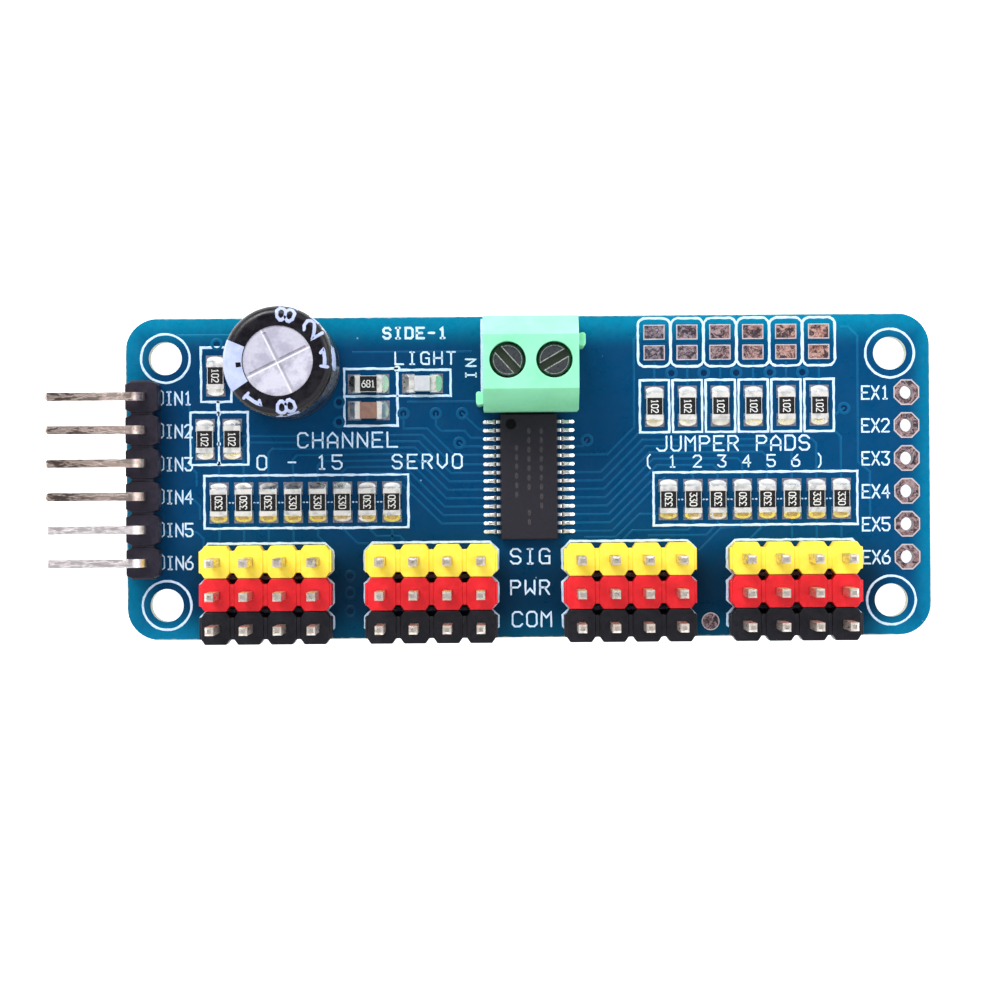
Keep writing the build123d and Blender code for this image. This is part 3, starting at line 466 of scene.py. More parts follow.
# ------------ softened CAD edges
def soften(node, width_mm, segments=2):
    """Rounds a node's sharp edges with modifiers; the CAD mesh itself stays as it is."""
    piece = nodes[node]
    weld = piece.modifiers.new("weld", "WELD")
    weld.merge_threshold = 0.002 * MM
    merge = piece.modifiers.new("merge", "DECIMATE")
    merge.decimate_type = "DISSOLVE"
    merge.angle_limit = math.radians(1)
    bevel = piece.modifiers.new("bevel", "BEVEL")
    bevel.width = width_mm * MM
    bevel.segments = segments
    bevel.limit_method = "ANGLE"
    bevel.angle_limit = math.radians(35)
    for polygon in piece.data.polygons:
        polygon.use_smooth = True
    normals = piece.modifiers.new("normals", "WEIGHTED_NORMAL")
    normals.keep_sharp = False


for number in (1, 2, 3, 4):
    for strip in ("signal", "power", "ground"):
        soften(f"{strip}_housing_{number}", 0.08)
soften("control_header_housing", 0.08)
soften("terminal_housing", 0.12, segments=3)


# ------------ mesh helpers
def place_object(name, data):
    """A new object in the scene, holding the given mesh, light or camera."""
    thing = bpy.data.objects.new(name, data)
    bpy.context.scene.collection.objects.link(thing)
    return thing


class Piece:
    """Gathers vertices and faces, in millimetres, and turns them into one object."""

    def __init__(self):
        self.vertices = []
        self.faces = []

    def add_vertex(self, point):
        self.vertices.append(tuple(point))
        return len(self.vertices) - 1

    def tube(self, rings, closed=False):
        """Joins rings of points into a skin; an open tube is capped at both ends."""
        loops = [[self.add_vertex(p) for p in ring] for ring in rings]
        count = len(loops[0])
        pairs = list(zip(loops, loops[1:]))
        if closed:
            pairs.append((loops[-1], loops[0]))
        for a, b in pairs:
            for i in range(count):
                j = (i + 1) % count
                self.faces.append((a[i], a[j], b[j], b[i]))
        if not closed:
            self.faces.append(tuple(reversed(loops[0])))
            self.faces.append(tuple(loops[-1]))

    def slab(self, outline, bottom, top):
        """A flat plate with the given outline (counter-clockwise, x and y)."""
        self.tube([[(x, y, z) for x, y in outline] for z in (bottom, top)])

    def shell(self, one, other):
        """Joins two grids of points of the same size into one closed skin."""
        a, b = [[[self.add_vertex(p) for p in row] for row in grid] for grid in (one, other)]
        rows, columns = len(a) - 1, len(a[0]) - 1
        for j in range(rows):
            for i in range(columns):
                self.faces.append((a[j][i], a[j + 1][i], a[j + 1][i + 1], a[j][i + 1]))
                self.faces.append((b[j][i], b[j][i + 1], b[j + 1][i + 1], b[j + 1][i]))
        border = [(0, i) for i in range(columns)] + [(j, columns) for j in range(rows)]
        border += [(rows, i) for i in range(columns, 0, -1)] + [(j, 0) for j in range(rows, 0, -1)]
        for (j, i), (n, m) in zip(border, border[1:] + border[:1]):
            self.faces.append((a[j][i], a[n][m], b[n][m], b[j][i]))

    def make(self, name, key, body="board"):
        """The finished object: its name, its material and the body it rides on."""
        mesh = bpy.data.meshes.new(name)
        mesh.from_pydata([tuple(c * MM for c in v) for v in self.vertices], [], self.faces)
        mesh.validate()
        mesh.update()
        mesh.materials.append(materials[key])
        piece = place_object(name, mesh)
        for polygon in mesh.polygons:
            polygon.use_smooth = True
        mesh.set_sharp_from_angle(angle=math.radians(45))
        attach(piece, body)


def above(level):
    """A level surface to print on: gives the point at a height above it."""
    return lambda x, y, height: (x, y, level + height)


on_top = above(BOARD_TOP)


def on_back(x, y, height):
    """A point below the underside of the board, seen from below with x and y unchanged."""
    return (x, y, board_low.z - height)


def resample(points, closed, step):
    """Points along a path, at most step apart, with its corners kept."""
    ends = points[1:] + points[:1] if closed else points[1:]
    path = []
    for (ax, ay), (bx, by) in zip(points, ends):
        length = math.hypot(bx - ax, by - ay)
        parts = max(1, math.ceil(length / step))
        for i in range(parts):
            t = i / parts
            path.append((ax + (bx - ax) * t, ay + (by - ay) * t))
    if not closed:
        path.append(points[-1])
    return path


def unit(dx, dy):
    """The direction dx, dy at length 1."""
    length = math.hypot(dx, dy) or 1
    return dx / length, dy / length


def ribbon(piece, points, width, height, surface=on_top, closed=False, wobble=0.0, step=0.4):
    """A low printed or etched line along a path: flat on top, with sloping sides and rounded ends."""
    path = resample(points, closed, step)
    count = len(path)
    sections = []
    for i, (x, y) in enumerate(path):
        before = path[i - 1] if (i or closed) else path[i]
        after = path[(i + 1) % count] if (i < count - 1 or closed) else path[i]
        ux, uy = unit(x - before[0], y - before[1])
        vx, vy = unit(after[0] - x, after[1] - y)
        if before == path[i]:
            ux, uy = vx, vy
        if after == path[i]:
            vx, vy = ux, uy
        nx, ny = unit(-uy - vy, ux + vx)
        spread = min(1.5, 1 / max(0.3, ux * ny - uy * nx))
        sections.append([x, y, nx, ny, spread])
    if not closed:
        ends = []
        for (x, y, nx, ny, _), way in ((sections[0], width), (sections[-1], -width)):
            caps = ((0.48, 0.35), (0.32, 0.78))
            ends.append([[x - ny * way * out, y + nx * way * out, nx, ny, share] for out, share in caps])
        sections = ends[0] + sections + ends[1][::-1]
    rings = []
    for x, y, nx, ny, spread in sections:
        half = width / 2 * spread
        left = half + random.uniform(-wobble, wobble)
        right = half + random.uniform(-wobble, wobble)
        inner = 0.72
        rings.append([
            surface(x - nx * left, y - ny * left, -0.01),
            surface(x + nx * right, y + ny * right, -0.01),
            surface(x + nx * right * inner, y + ny * right * inner, height),
            surface(x - nx * left * inner, y - ny * left * inner, height),
        ])
    piece.tube(rings, closed)


def turned(x, y, u, v, turn):
    """The point u, v of a drawing turned about its origin, which is set down at x, y."""
    cos_turn, sin_turn = math.cos(turn), math.sin(turn)
    return (x + u * cos_turn - v * sin_turn, y + u * sin_turn + v * cos_turn)


def circle_points(x, y, radius, count=32, start=0.0, turn=math.tau):
    """Points around a circle, or part of one."""
    whole = abs(turn) >= math.tau
    steps = count if whole else count - 1
    return [turned(x, y, radius, 0.0, start + turn * i / steps) for i in range(count)]


def rectangle_points(low_x, low_y, high_x, high_y, corner=0.0):
    """A rectangle's outline, with its corners rounded when corner isn't zero."""
    if not corner:
        return [(low_x, low_y), (high_x, low_y), (high_x, high_y), (low_x, high_y)]
    points = []
    middles = [
        (high_x - corner, low_y + corner, -math.pi / 2),
        (high_x - corner, high_y - corner, 0.0),
        (low_x + corner, high_y - corner, math.pi / 2),
        (low_x + corner, low_y + corner, math.pi),
    ]
    for x, y, start in middles:
        points += circle_points(x, y, corner, 7, start, math.pi / 2)
    return points


def clipped_points(low_x, low_y, high_x, high_y, clip):
    """A rectangle's outline with its corners cut off at 45 degrees."""
    return [
        (low_x + clip, low_y), (high_x - clip, low_y), (high_x, low_y + clip), (high_x, high_y - clip),
        (high_x - clip, high_y), (low_x + clip, high_y), (low_x, high_y - clip), (low_x, low_y + clip),
    ]


# ------------ stroke lettering
# Each sign is a few strokes on a grid 4 wide and 6 high: x,y points, with ";" between strokes.
SIGNS = {
    "A": "0,0 0,4 2,6 4,4 4,0; 0,2 4,2",
    "C": "4,5 3,6 1,6 0,5 0,1 1,0 3,0 4,1",
    "D": "0,0 0,6 3,6 4,5 4,1 3,0 0,0",
    "E": "4,6 0,6 0,0 4,0; 0,3 3,3",
    "G": "4,5 3,6 1,6 0,5 0,1 1,0 4,0 4,3 2.4,3",
    "H": "0,0 0,6; 4,0 4,6; 0,3 4,3",
    "I": "2,0 2,6; 1,0 3,0; 1,6 3,6",
    "J": "4,6 4,1 3,0 1,0 0,1",
    "L": "0,6 0,0 4,0",
    "M": "0,0 0,6 2,3.6 4,6 4,0",
    "N": "0,0 0,6 4,0 4,6",
    "O": "1,0 0,1 0,5 1,6 3,6 4,5 4,1 3,0 1,0",
    "P": "0,0 0,6 3,6 4,5 4,4 3,3 0,3",
    "R": "0,0 0,6 3,6 4,5 4,4 3,3 0,3; 2,3 4,0",
    "S": "4,5 3,6 1,6 0,5 0,4 1,3 3,3 4,2 4,1 3,0 1,0 0,1",
    "T": "0,6 4,6; 2,6 2,0",
    "V": "0,6 0,2 2,0 4,2 4,6",
    "W": "0,6 0,0 2,2.4 4,0 4,6",
    "0": "1,0 0,1 0,5 1,6 3,6 4,5 4,1 3,0 1,0",
    "1": "1,5 2,6 2,0; 1,0 3,0",
    "2": "0,5 1,6 3,6 4,5 4,4 0,0 4,0",
    "3": "0,6 4,6 2,3.6 4,2.4 4,1 3,0 1,0 0,1",
    "4": "3,0 3,6 0,2 4,2",
    "5": "4,6 0,6 0,3.4 3,3.4 4,2.4 4,1 3,0 1,0 0,1",
    "6": "3,6 0,3 0,1 1,0 3,0 4,1 4,2.4 3,3.4 0.4,3.4",
    "7": "0,6 4,6 1.5,0",
    "8": "1,3 0,4 0,5 1,6 3,6 4,5 4,4 3,3 1,3; 1,3 0,2 0,1 1,0 3,0 4,1 4,2 3,3",
    "9": "1,0 4,3 4,5 3,6 1,6 0,5 0,3.6 1,2.6 3.6,2.6",
    "-": "0.5,3 3.5,3",
    "U": "0,6 0,1 1,0 3,0 4,1 4,6",
    "X": "0,0 4,6; 0,6 4,0",
    "(": "3,6.6 1.8,5 1.8,1 3,-0.6",
    ")": "1,6.6 2.2,5 2.2,1 1,-0.6",
    " ": "",
}


def strokes_of(sign):
    """A sign's strokes, as lists of grid points."""
    strokes = [stroke.split() for stroke in SIGNS[sign].split(";")]
    return [[tuple(map(float, point.split(","))) for point in stroke] for stroke in strokes if stroke]


def letters(piece, text, x, y, height, pitch, line=0.15, turn=0.0, surface=on_top, thick=0.02,
            wobble=0.012, mirror=1, step=0.3):
    """Text as printed strokes. x and y are the lower left of the first sign."""
    unit = height / 6
    across = min(unit, pitch * 0.72 / 4)
    for index, sign in enumerate(text):
        for stroke in strokes_of(sign):
            points = []
            for gx, gy in stroke:
                points.append(turned(x, y, (index * pitch + gx * across) * mirror, gy * unit, turn))
            closed = len(points) > 2 and stroke[0] == stroke[-1]
            if closed:
                points = points[:-1]
            ribbon(piece, points, line, thick, surface, closed, wobble, step)


# ------------ printed legends
SILK_LINE = 0.2
SILK_THICK = 0.022
HOLE_RING_RADIUS = 1.88


def silk_box(piece, low_x, low_y, high_x, high_y, corner=0.0, thick=SILK_THICK):
    """A printed rectangle, with lines as uneven as screen printing leaves them."""
    outline = rectangle_points(low_x, low_y, high_x, high_y, corner)
    ribbon(piece, outline, SILK_LINE, thick, closed=True, wobble=0.03)


def hole_rings(piece, surface, wobble):
    """Printed rings around the four mounting holes."""
    for x in (-HOLE_X, HOLE_X):
        for y in (-HOLE_Y, HOLE_Y):
            ring = circle_points(x, y, HOLE_RING_RADIUS, 40)
            ribbon(piece, ring, SILK_LINE, SILK_THICK, surface, closed=True, wobble=wobble)


def build_outlines():
    """White outlines around the mounting holes, the chips, the pads and the headers."""
    silk = Piece()
    hole_rings(silk, on_top, 0.02)
    for bank in (series_left, series_right):
        silk_box(silk, bank[0] - 1.14, SERIES_Y - 1.98, bank[-1] + 1.26, SERIES_Y + 2.1)
        for a, b in zip(bank, bank[1:]):
            for x in ((a + b) / 2 - 0.14, (a + b) / 2 + 0.12):
                ribbon(silk, [(x - 0.03, SERIES_Y), (x + 0.03, SERIES_Y)], 0.12, SILK_THICK, wobble=0.02)
    for i, x in enumerate(address_columns):
        silk_box(silk, x - 1.13, ADDRESS_RESISTOR_Y - 2.0, x + 1.13, ADDRESS_RESISTOR_Y + 2.02)
        # Neighbouring outlines overlap, so every other one is printed a little thicker
        silk_box(silk, x - 1.25, address_middle.y - 1.86, x + 1.25, address_middle.y + 1.86, corner=0.55,
                 thick=SILK_THICK + 0.005 * (i % 2))
    # The enable resistor and the two bus resistors
    silk_box(silk, -25.2, 6.15, -22.85, 10.35)
    silk_box(silk, -26.05, 1.3, -21.6, 5.35)
    ribbon(silk, [(bus_middle, 5.3), (bus_middle, 1.35)], SILK_LINE, SILK_THICK, wobble=0.05)
    for y in (5.2, 2.9, 1.4):
        silk.slab(circle_points(bus_middle, y, 0.17, 9), BOARD_TOP - 0.01, BOARD_TOP + SILK_THICK)
    ribbon(silk, [(-23.9, 6.1), (-23.9, 5.4)], 0.3, SILK_THICK, wobble=0.06)
    # Lamp, its resistor and the chip capacitor
    silk_box(silk, -14.15, 4.22, -10.05, 8.62)
    thicker = SILK_THICK + 0.006
    lamp_box = [(-10.05, 8.5), (-5.95, 8.5), (-5.95, 6.5), (-10.05, 6.5)]
    for points in ([(-14.15, 6.5), (-10.05, 6.5)], lamp_box):
        ribbon(silk, points, SILK_LINE, thicker, wobble=0.03)
    silk.slab(circle_points(-10.05, 8.6, 0.26, 11), BOARD_TOP - 0.01, BOARD_TOP + SILK_THICK)
    # Headers: each strip has its own outline with clipped corners, seen as a rim around it
    for middle in block_middles:
        for row in (1, 0, -1):
            y = middle.y + row * PITCH
            low_y = max(y - 1.3, board_low.y + 0.25)
            outline = clipped_points(middle.x - 5.16, low_y, middle.x + 5.1, y + 1.38, 0.62)
            ribbon(silk, outline, SILK_LINE, SILK_THICK + 0.004 * row, closed=True, wobble=0.03)
    for y in control_rows:
        reach = control_middle.x + 1.42
        points = [(reach - 0.4, y - 0.75), (reach, y - 0.42), (reach, y + 0.42), (reach - 0.4, y + 0.75)]
        ribbon(silk, points, 0.1, SILK_THICK, wobble=0.02)
    # A painted highlight in silk ink, standing for the lit left side face of the terminal
    left_x = terminal_low.x + 0.44
    terminal_side_highlight = [(left_x, board_high.y - 0.3), (left_x, terminal_low.y + 1.6)]
    ribbon(silk, terminal_side_highlight, 0.22, SILK_THICK, wobble=0.02)
    silk.make("printed_outlines", "silk_ink")


def build_labels():
    """Plain numbers and generic words where the board carries its legends."""
    silk = Piece()
    for number, y in enumerate(control_rows, start=1):
        letters(silk, f"IN{number}", control_middle.x + 1.6, y - 0.55, 0.98, 0.74)
        letters(silk, f"EX{number}", 25.78, y - 0.5, 0.98, 0.76)
    # Each legend: its text, its lower left, its height, its pitch, and its line and turn if special
    legends = (
        ("SIG", -1.4, -6.5, 1.12, 1.12, 0.16),
        ("PWR", -1.4, -8.87, 1.05, 1.12, 0.16),
        ("COM", -1.3, -11.35, 1.12, 1.12, 0.16),
        ("SIDE-1", -11.1, 10.95, 0.8, 0.86, 0.2),
        ("LIGHT", -10.2, 8.95, 0.92, 1.0),
        ("IN", -3.98, 7.82, 0.78, 0.95, 0.15, math.pi / 2),
        ("CHANNEL", -17.75, 2.58, 1.12, 1.15, 0.16),
        ("0 - 15   SERVO", -20.9, 0.92, 1.05, 1.16, 0.16),
        ("JUMPER PADS", 9.95, 2.12, 1.1, 1.1, 0.16),
        ("( 1 2 3 4 5 6 )", 8.95, 0.86, 0.88, 0.95, 0.14),
    )
    for legend in legends:
        letters(silk, *legend)
    silk.make("printed_labels", "silk_ink")


build_outlines()
build_labels()


# ------------ copper tracks under the mask
TRACK = 0.2
SUPPLY_TRACK = 1.5
TRACK_THICK = 0.016
TRACK_END = 1.3  # how far from a series resistor's middle its tracks end


def fan(tracks, side, first_lead, count, first_bend, first_level, targets):
    """Parallel tracks from the chip's leads: straight out, up on the slant, along, and down to a resistor.

    side is -1 for the left leads and 1 for the right ones."""
    bend_gap, level_gap = 0.125, 0.49
    for k in range(count):
        lead_y = lead_rows[first_lead + k]
        bend_x = side * (first_bend + bend_gap * k)
        level = first_level - level_gap * k
        corner_x = bend_x + side * (level - lead_y)
        end_x = targets[k]
        points = [(ic_middle.x + side * 3.45, lead_y), (bend_x, lead_y), (corner_x, level)]
        fall = min(0.35, max(0.0, level - SERIES_Y - 1.35))
        if (end_x - corner_x) * side > fall:
            points += [(end_x - side * fall, level), (end_x, level - fall), (end_x, SERIES_Y + TRACK_END)]
        ribbon(tracks, points, TRACK, TRACK_THICK)


def build_tracks():
    """Tracks from the driver chip to the resistor banks and on to the signal pins."""
    tracks = Piece()
    foot = SERIES_Y - TRACK_END

    def track(*points):
        ribbon(tracks, list(points), TRACK, TRACK_THICK)

    def lean(x, *bends):
        """A track down from the resistor at x; each bend is its distance aside and its y."""
        track((x, foot), *[(x + aside, y) for aside, y in bends])

    fan(tracks, -1, 5, 8, 5.83, 3.49, series_left)
    fan(tracks, 1, 6, 8, 5.58, 3.46, list(reversed(series_right)))
    # Short ones beside the chip, each to a via
    track((-3.4, 3.88), (-3.75, 3.88), (-5.06, 5.12))
    track((-3.4, 3.23), (-4.4, 3.23), (-4.9, 3.78), (-6.7, 3.78), (-7.1, 4.2), (-7.1, 5.13))
    track((-3.4, 2.57), (-4.94, 2.57), (-5.3, 2.85))
    track((-3.4, 1.91), (-5.7, 1.91), (-7.78, 3.98), (-9.6, 3.98), (-9.6, 5.15))
    track((3.5, 2.53), (4.2, 2.53), (4.54, 3.0))
    track((3.5, 1.88), (6.12, 1.88), (8.2, 3.96), (8.2, 10.7), (8.7, 11.3))
    # Down from each left resistor: four go straight on, the others lean towards the second block
    low = -4.9
    for x in series_left[:4] + series_left[7:]:
        track((x, foot), (x, low))
    lean(series_left[4], (0.0, -4.3), (0.95, -5.2))
    lean(series_left[5], (0.0, -3.7), (1.15, -4.85), (1.9, -4.85))
    lean(series_left[6], (0.0, -3.6), (0.7, -4.3), (2.5, -4.3), (2.85, -4.7))
    # Down from each right resistor, leaning towards the third block
    for x in series_right[5:]:
        track((x, foot), (x, low))
    lean(series_right[4], (0.0, -3.4), (-1.3, -4.7))
    lean(series_right[3], (0.0, -3.3), (-0.3, -3.75), (-1.7, -3.9), (-3.3, -5.5))
    lean(series_right[2], (0.0, -3.5), (-0.9, -4.4), (-5.3, -4.4))
    x = series_right[1]
    track((x, foot), (x, -3.6), (x - 0.4, -4.0), (8.0, -4.0), (7.4, -4.6))
    track((9.9, -2.74), (8.55, -2.74), (6.75, -4.5), (4.4, -4.5))
    # Up from each address resistor to its pads
    for x in address_columns:
        track((x, ADDRESS_RESISTOR_Y + 1.2), (x, address_middle.y - 1.2))
    # Supply and bus lines at the right end
    track((24.2, 11.6), (24.75, 11.6), (25.45, 10.9), (25.45, 1.15), (26.35, 0.4), (26.35, -3.1))
    track((23.7, 4.8), (24.4, 5.3))
    for i, y in enumerate(control_rows[:5]):
        x = -26.1 + 0.25 * i
        track((-28.4, y - 0.25), (x - 0.5, y - 0.25), (x, y - 0.75), (x, y - 1.7))
    # Along the upper left, behind the capacitor
    track((-27.0, 11.3), (-22.9, 11.3), (-22.4, 10.8))
    track((-13.4, 9.9), (-4.4, 9.9))
    track((-9.2, 6.05), (-4.2, 6.05))
    tracks.make("tracks_top", "trace_mask")


def via_spots():
    """Places of the small tented holes."""
    spots = [(x, 8.1) for x in (11.1, 13.6, 16.1, 18.7, 21.2)]
    spots += [(-9.6, 5.15), (-7.1, 5.13), (-5.06, 5.12), (-5.3, 2.85), (4.54, 3.0), (24.4, 5.3)]
    spots += [(-14.57, 6.06), (-14.58, 4.54), (-23.96, 10.6)]
    spots += [(-13.8, -7.37), (-13.8, -8.67), (-13.8, -10.08)]
    return spots


def build_vias():
    """A raised ring and a sunken middle at each tented hole, on both faces."""
    rings = Piece()
    holes = Piece()
    ring_radius, ring_width, ring_thick, hollow_radius = 0.38, 0.26, 0.024, 0.24
    for x, y in via_spots():
        ring = circle_points(x, y, ring_radius, 20)
        hollow = circle_points(x, y, hollow_radius, 16)
        ribbon(rings, ring, ring_width, ring_thick, closed=True)
        holes.slab(hollow, BOARD_TOP - 0.01, BOARD_TOP + 0.008)
        ribbon(rings, ring, ring_width, ring_thick, on_back, closed=True)
        holes.slab(hollow, board_low.z - 0.008, board_low.z + 0.01)
    rings.make("via_rings", "trace_mask")
    holes.make("via_hollows", "via_mask")


build_tracks()
build_vias()


# ------------ underside
def build_underside():
    """Wide supply tracks, thin signal tracks and pin numbers on the back."""
    tracks = Piece()
    for rows_down in (1, 0):
        y = block_middles[0].y - PITCH * rows_down
        ribbon(tracks, [(-24.9, y), (24.9, y)], SUPPLY_TRACK, TRACK_THICK, on_back, step=2.0)
    for i, y in enumerate(control_rows[1:5]):
        level = 4.6 - 0.7 * i
        ribbon(tracks, [(-28.4, y), (-27.4, y), (-26.2, level), (26.2, level), (27.4, y), (28.4, y)],
               0.25, TRACK_THICK, on_back, step=1.5)
    for x in address_columns[:5]:
        ribbon(tracks, [(x + 1.3, 8.1), (x + 1.3, 6.4), (x - 1.2, 5.4)], TRACK, TRACK_THICK, on_back)
    ribbon(tracks, [(-1.5, 7.9), (-1.5, 10.8), (-16.0, 10.8), (-16.75, 9.6)], 1.2, TRACK_THICK, on_back)
    ribbon(tracks, [(2.0, 7.9), (2.0, 5.6), (-19.2, 5.6), (-20.2, 7.8)], 1.2, TRACK_THICK, on_back)
    tracks.make("tracks_back", "trace_mask")
    silk = Piece()
    for n, middle in enumerate(block_middles):
        for c in range(4):
            channel = str(n * 4 + c)
            x = middle.x + PITCH * (c - 1.5) + 0.42 * len(channel) - 0.1
            letters(silk, channel, x, -4.6, 0.85, 0.8, surface=on_back, mirror=-1)
    hole_rings(silk, on_back, 0.0)
    can_ring = circle_points(can_middle.x, can_middle.y - 0.35, 3.2, 48)
    ribbon(silk, can_ring, SILK_LINE, SILK_THICK, on_back, closed=True)
    silk.make("printed_back", "silk_ink")


build_underside()


# ------------ bare pads
def build_pad_rims():
    """The tinned rim that shows around each bare copper pad, and the mask that laps over its edges."""
    rims = Piece()
    lap = Piece()
    low, high = box_mm("address_pads")
    pad_long, pad_wide = 1.7, 1.22
    for x in address_columns:
        for y in (low.y + pad_wide / 2, high.y - pad_wide / 2):
            for piece, inset, width, height in ((rims, 0.07, 0.1, 0.06), (lap, -0.03, 0.18, 0.055)):
                half_long = pad_long / 2 - inset
                half_wide = pad_wide / 2 - inset
                outline = rectangle_points(x - half_long, y - half_wide, x + half_long, y + half_wide)
                ribbon(piece, outline, width, height, closed=True, wobble=0.012)
    lap.make("pad_lap", "lap_mask")
    half = (box_mm("expansion_pads")[1].x - box_mm("expansion_pads")[0].x) / 2
    reach = half / math.cos(math.pi / 8)
    for y in control_rows:
        outline = circle_points(expansion_middle.x, y, reach, 8, math.pi / 8)
        ribbon(rims, outline, 0.13, 0.06, closed=True, wobble=0.008)
        ribbon(rims, outline, 0.13, 0.06, on_back, closed=True, wobble=0.008)
    spot = middle_mm("test_pad")
    ribbon(rims, circle_points(spot.x, spot.y, 0.65, 24), 0.1, 0.06, closed=True)
    rims.make("pad_rims", "pad_rim")


build_pad_rims()


# ------------ solder on the chips
LAND_THICK = 0.035
SUNK = 0.005  # how far lands and solder reach into the board, so that no gap shows


def solder_mound(piece, x, y, turn, width, inner, outer, height, side_gap, bulge=0.1, square=3.2,
                 start=None):
    """Solder that climbs one chip end and rounds off over its land.

    The chip ends at inner and the solder at outer, both counted from the chip's middle along turn."""
    across, along = 14, 16
    half = width / 2 + side_gap
    if start is None:
        start = inner - 0.42
    tops, bases = [], []
    for j in range(along + 1):
        v = start + (outer - start) * (j / along) ** 0.85
        over_end = max(0.0, v - inner) / (outer - inner)
        row_half = half * max(0.02, 1 - over_end ** square) ** 0.42
        tops.append([])
        bases.append([])
        for i in range(across + 1):
            s = -1 + 2 * i / across
            u = math.copysign(abs(s) ** 0.7, s) * row_half
            over_side = max(0.0, abs(u) - width / 2) / side_gap
            reach = min(1.0, max(math.hypot(over_end, over_side), abs(s) ** 6))
            lump = 1 + 0.16 * math.sin(6 * u + 3 * x) * math.cos(5 * v + 4 * y)
            rise = height * (1 - reach) ** 1.9 * lump + bulge * max(0.0, 1 - reach ** 4)
            spot = turned(x, y, u, v, turn)
            tops[j].append((*spot, BOARD_TOP + LAND_THICK + rise))
            bases[j].append((*spot, BOARD_TOP - SUNK))
    piece.shell(bases, tops)


def turned_rectangle(x, y, turn, low_u, low_v, high_u, high_v):
    """The corners of a rectangle drawn in a chip's own directions."""
    return [turned(x, y, u, v, turn) for u, v in rectangle_points(low_u, low_v, high_u, high_v)]


def chip_places():
    """Middle, turn, solder height and overhang of every two-ended chip."""
    upright = [(x, SERIES_Y) for x in series_left + series_right]
    upright += [(x, ADDRESS_RESISTOR_Y) for x in address_columns]
    places = [(x, y, 0.0, 0.36, 0.5) for x, y in upright + list(pull_places)]
    lying = ((lamp_resistor, 0.36, 0.52), (chip_capacitor, 0.6, 0.54), (lamp, 0.22, 0.5))
    for middle, height, overhang in lying:
        places.append((middle.x, middle.y, math.pi / 2, height, overhang))
    return places


def build_chip_solder():
    """Lands and fillets, and the flux left on the lower ends of the series resistors."""
    lands = Piece()
    bright = Piece()
    flux = Piece()
    # From a chip's middle: where its land starts and where the chip ends; and half the land's width
    land_start, chip_end, half_land = 0.62, 1.02, 0.75
    for x, y, turn, height, overhang in chip_places():
        for end in (0.0, math.pi):
            land_end = chip_end + overhang + 0.06
            outline = turned_rectangle(x, y, turn + end, -half_land, land_start, half_land, land_end)
            lands.slab(outline, BOARD_TOP - SUNK, BOARD_TOP + LAND_THICK)
            outer = chip_end + overhang + 0.03 * math.sin(9 * x + y + end)
            solder_mound(bright, x, y, turn + end, 1.3, 1.0, outer, height, 0.09)
            if end and y == SERIES_Y:
                pool = 0.86 + 0.1 * math.sin(5 * x)
                solder_mound(flux, x, y, end, pool, 1.0, outer - 0.07, height, 0.04, 0.15, 2.2, start=1.0)
    lands.make("chip_lands", "land_metal")
    bright.make("chip_solder", "solder")
    flux.make("flux_pools", "flux_resin")


def build_lead_solder():
    """Solder toes and pads under the driver chip's leads."""
    solder = Piece()
    land_start, land_end, half_land, lead_end, toe_end = 2.55, 3.3, 0.17, 3.16, 3.52
    for side in (-1, 1):
        turn = -side * math.pi / 2
        low_x, high_x = sorted((ic_middle.x + side * land_start, ic_middle.x + side * land_end))
        for y in lead_rows:
            solder_mound(solder, ic_middle.x, y, turn, 0.24, lead_end, toe_end, 0.14, 0.05, bulge=0.04)
            land = rectangle_points(low_x, y - half_land, high_x, y + half_land)
            solder.slab(land, BOARD_TOP - SUNK, BOARD_TOP + 0.03)
    solder.make("lead_solder", "solder")


build_chip_solder()
build_lead_solder()


# ------------ resistor digits
def build_digits():
    """Value digits printed on the black coats, read along each resistor."""
    digits = Piece()
    on_coat = above(box_mm("series_resistor_coats")[1].z)

    def value(text, x, y, turn):
        height, pitch = 0.52, 0.36
        length = pitch * len(text) - 0.1
        lx, ly = -length / 2, -height / 2
        letters(digits, text, *turned(x, y, lx, ly, turn), height, pitch, line=0.08, turn=turn,
                surface=on_coat, thick=0.012, wobble=0.004)

    flipped = {3, 4, 5, 9, 14, 15}
    for i, x in enumerate(series_left + series_right):
        value("330", x, SERIES_Y, -math.pi / 2 if i in flipped else math.pi / 2)
    for x in address_columns:
        value("102", x, ADDRESS_RESISTOR_Y, -math.pi / 2)
    for x, y in pull_places:
        value("102", x, y, -math.pi / 2)
    value("681", lamp_resistor.x, lamp_resistor.y, 0.0)
    digits.make("resistor_digits", "digit_ink")


build_digits()


# ------------ driver chip marks
def build_chip_marks():
    """Faint plain dashes on the chip instead of any marking, and a dark disc of painted shade in the dimple
    by its first lead.
    """
    marks = Piece()
    # Each row of dashes: its distance from the middle line, where it starts, and its dashes
    rows = ((0.95, 3.6, 9), (0.0, 3.6, 7), (0.0, -2.7, 2), (-0.95, 2.3, 6))
    dash_pitch, dash_length, dash_width = 0.72, 0.16, 0.32
    for offset, top_y, count in rows:
        for i in range(count):
            y = ic_middle.y + top_y - i * dash_pitch
            line = [(ic_middle.x + offset, y), (ic_middle.x + offset, y - dash_length)]
            ribbon(marks, line, dash_width, 0.004, above(ic_high.z), wobble=0.02)
    marks.make("chip_marks", "etched_mark")
    # A dark disc of painted shade down in the dimple
    dimple = Piece()
    spot = circle_points(ic_middle.x - 1.37, ic_middle.y + 4.05, 0.4, 28)
    dimple.slab(spot, ic_high.z - 0.09, ic_high.z - 0.07)
    dimple.make("chip_dimple", "dimple_shade")


build_chip_marks()


# ------------ terminal screws
SLOT_ANGLES = {"left": -48, "right": 30}
SLOT_WIDTH = 0.56
HEAD_RADIUS = 1.21


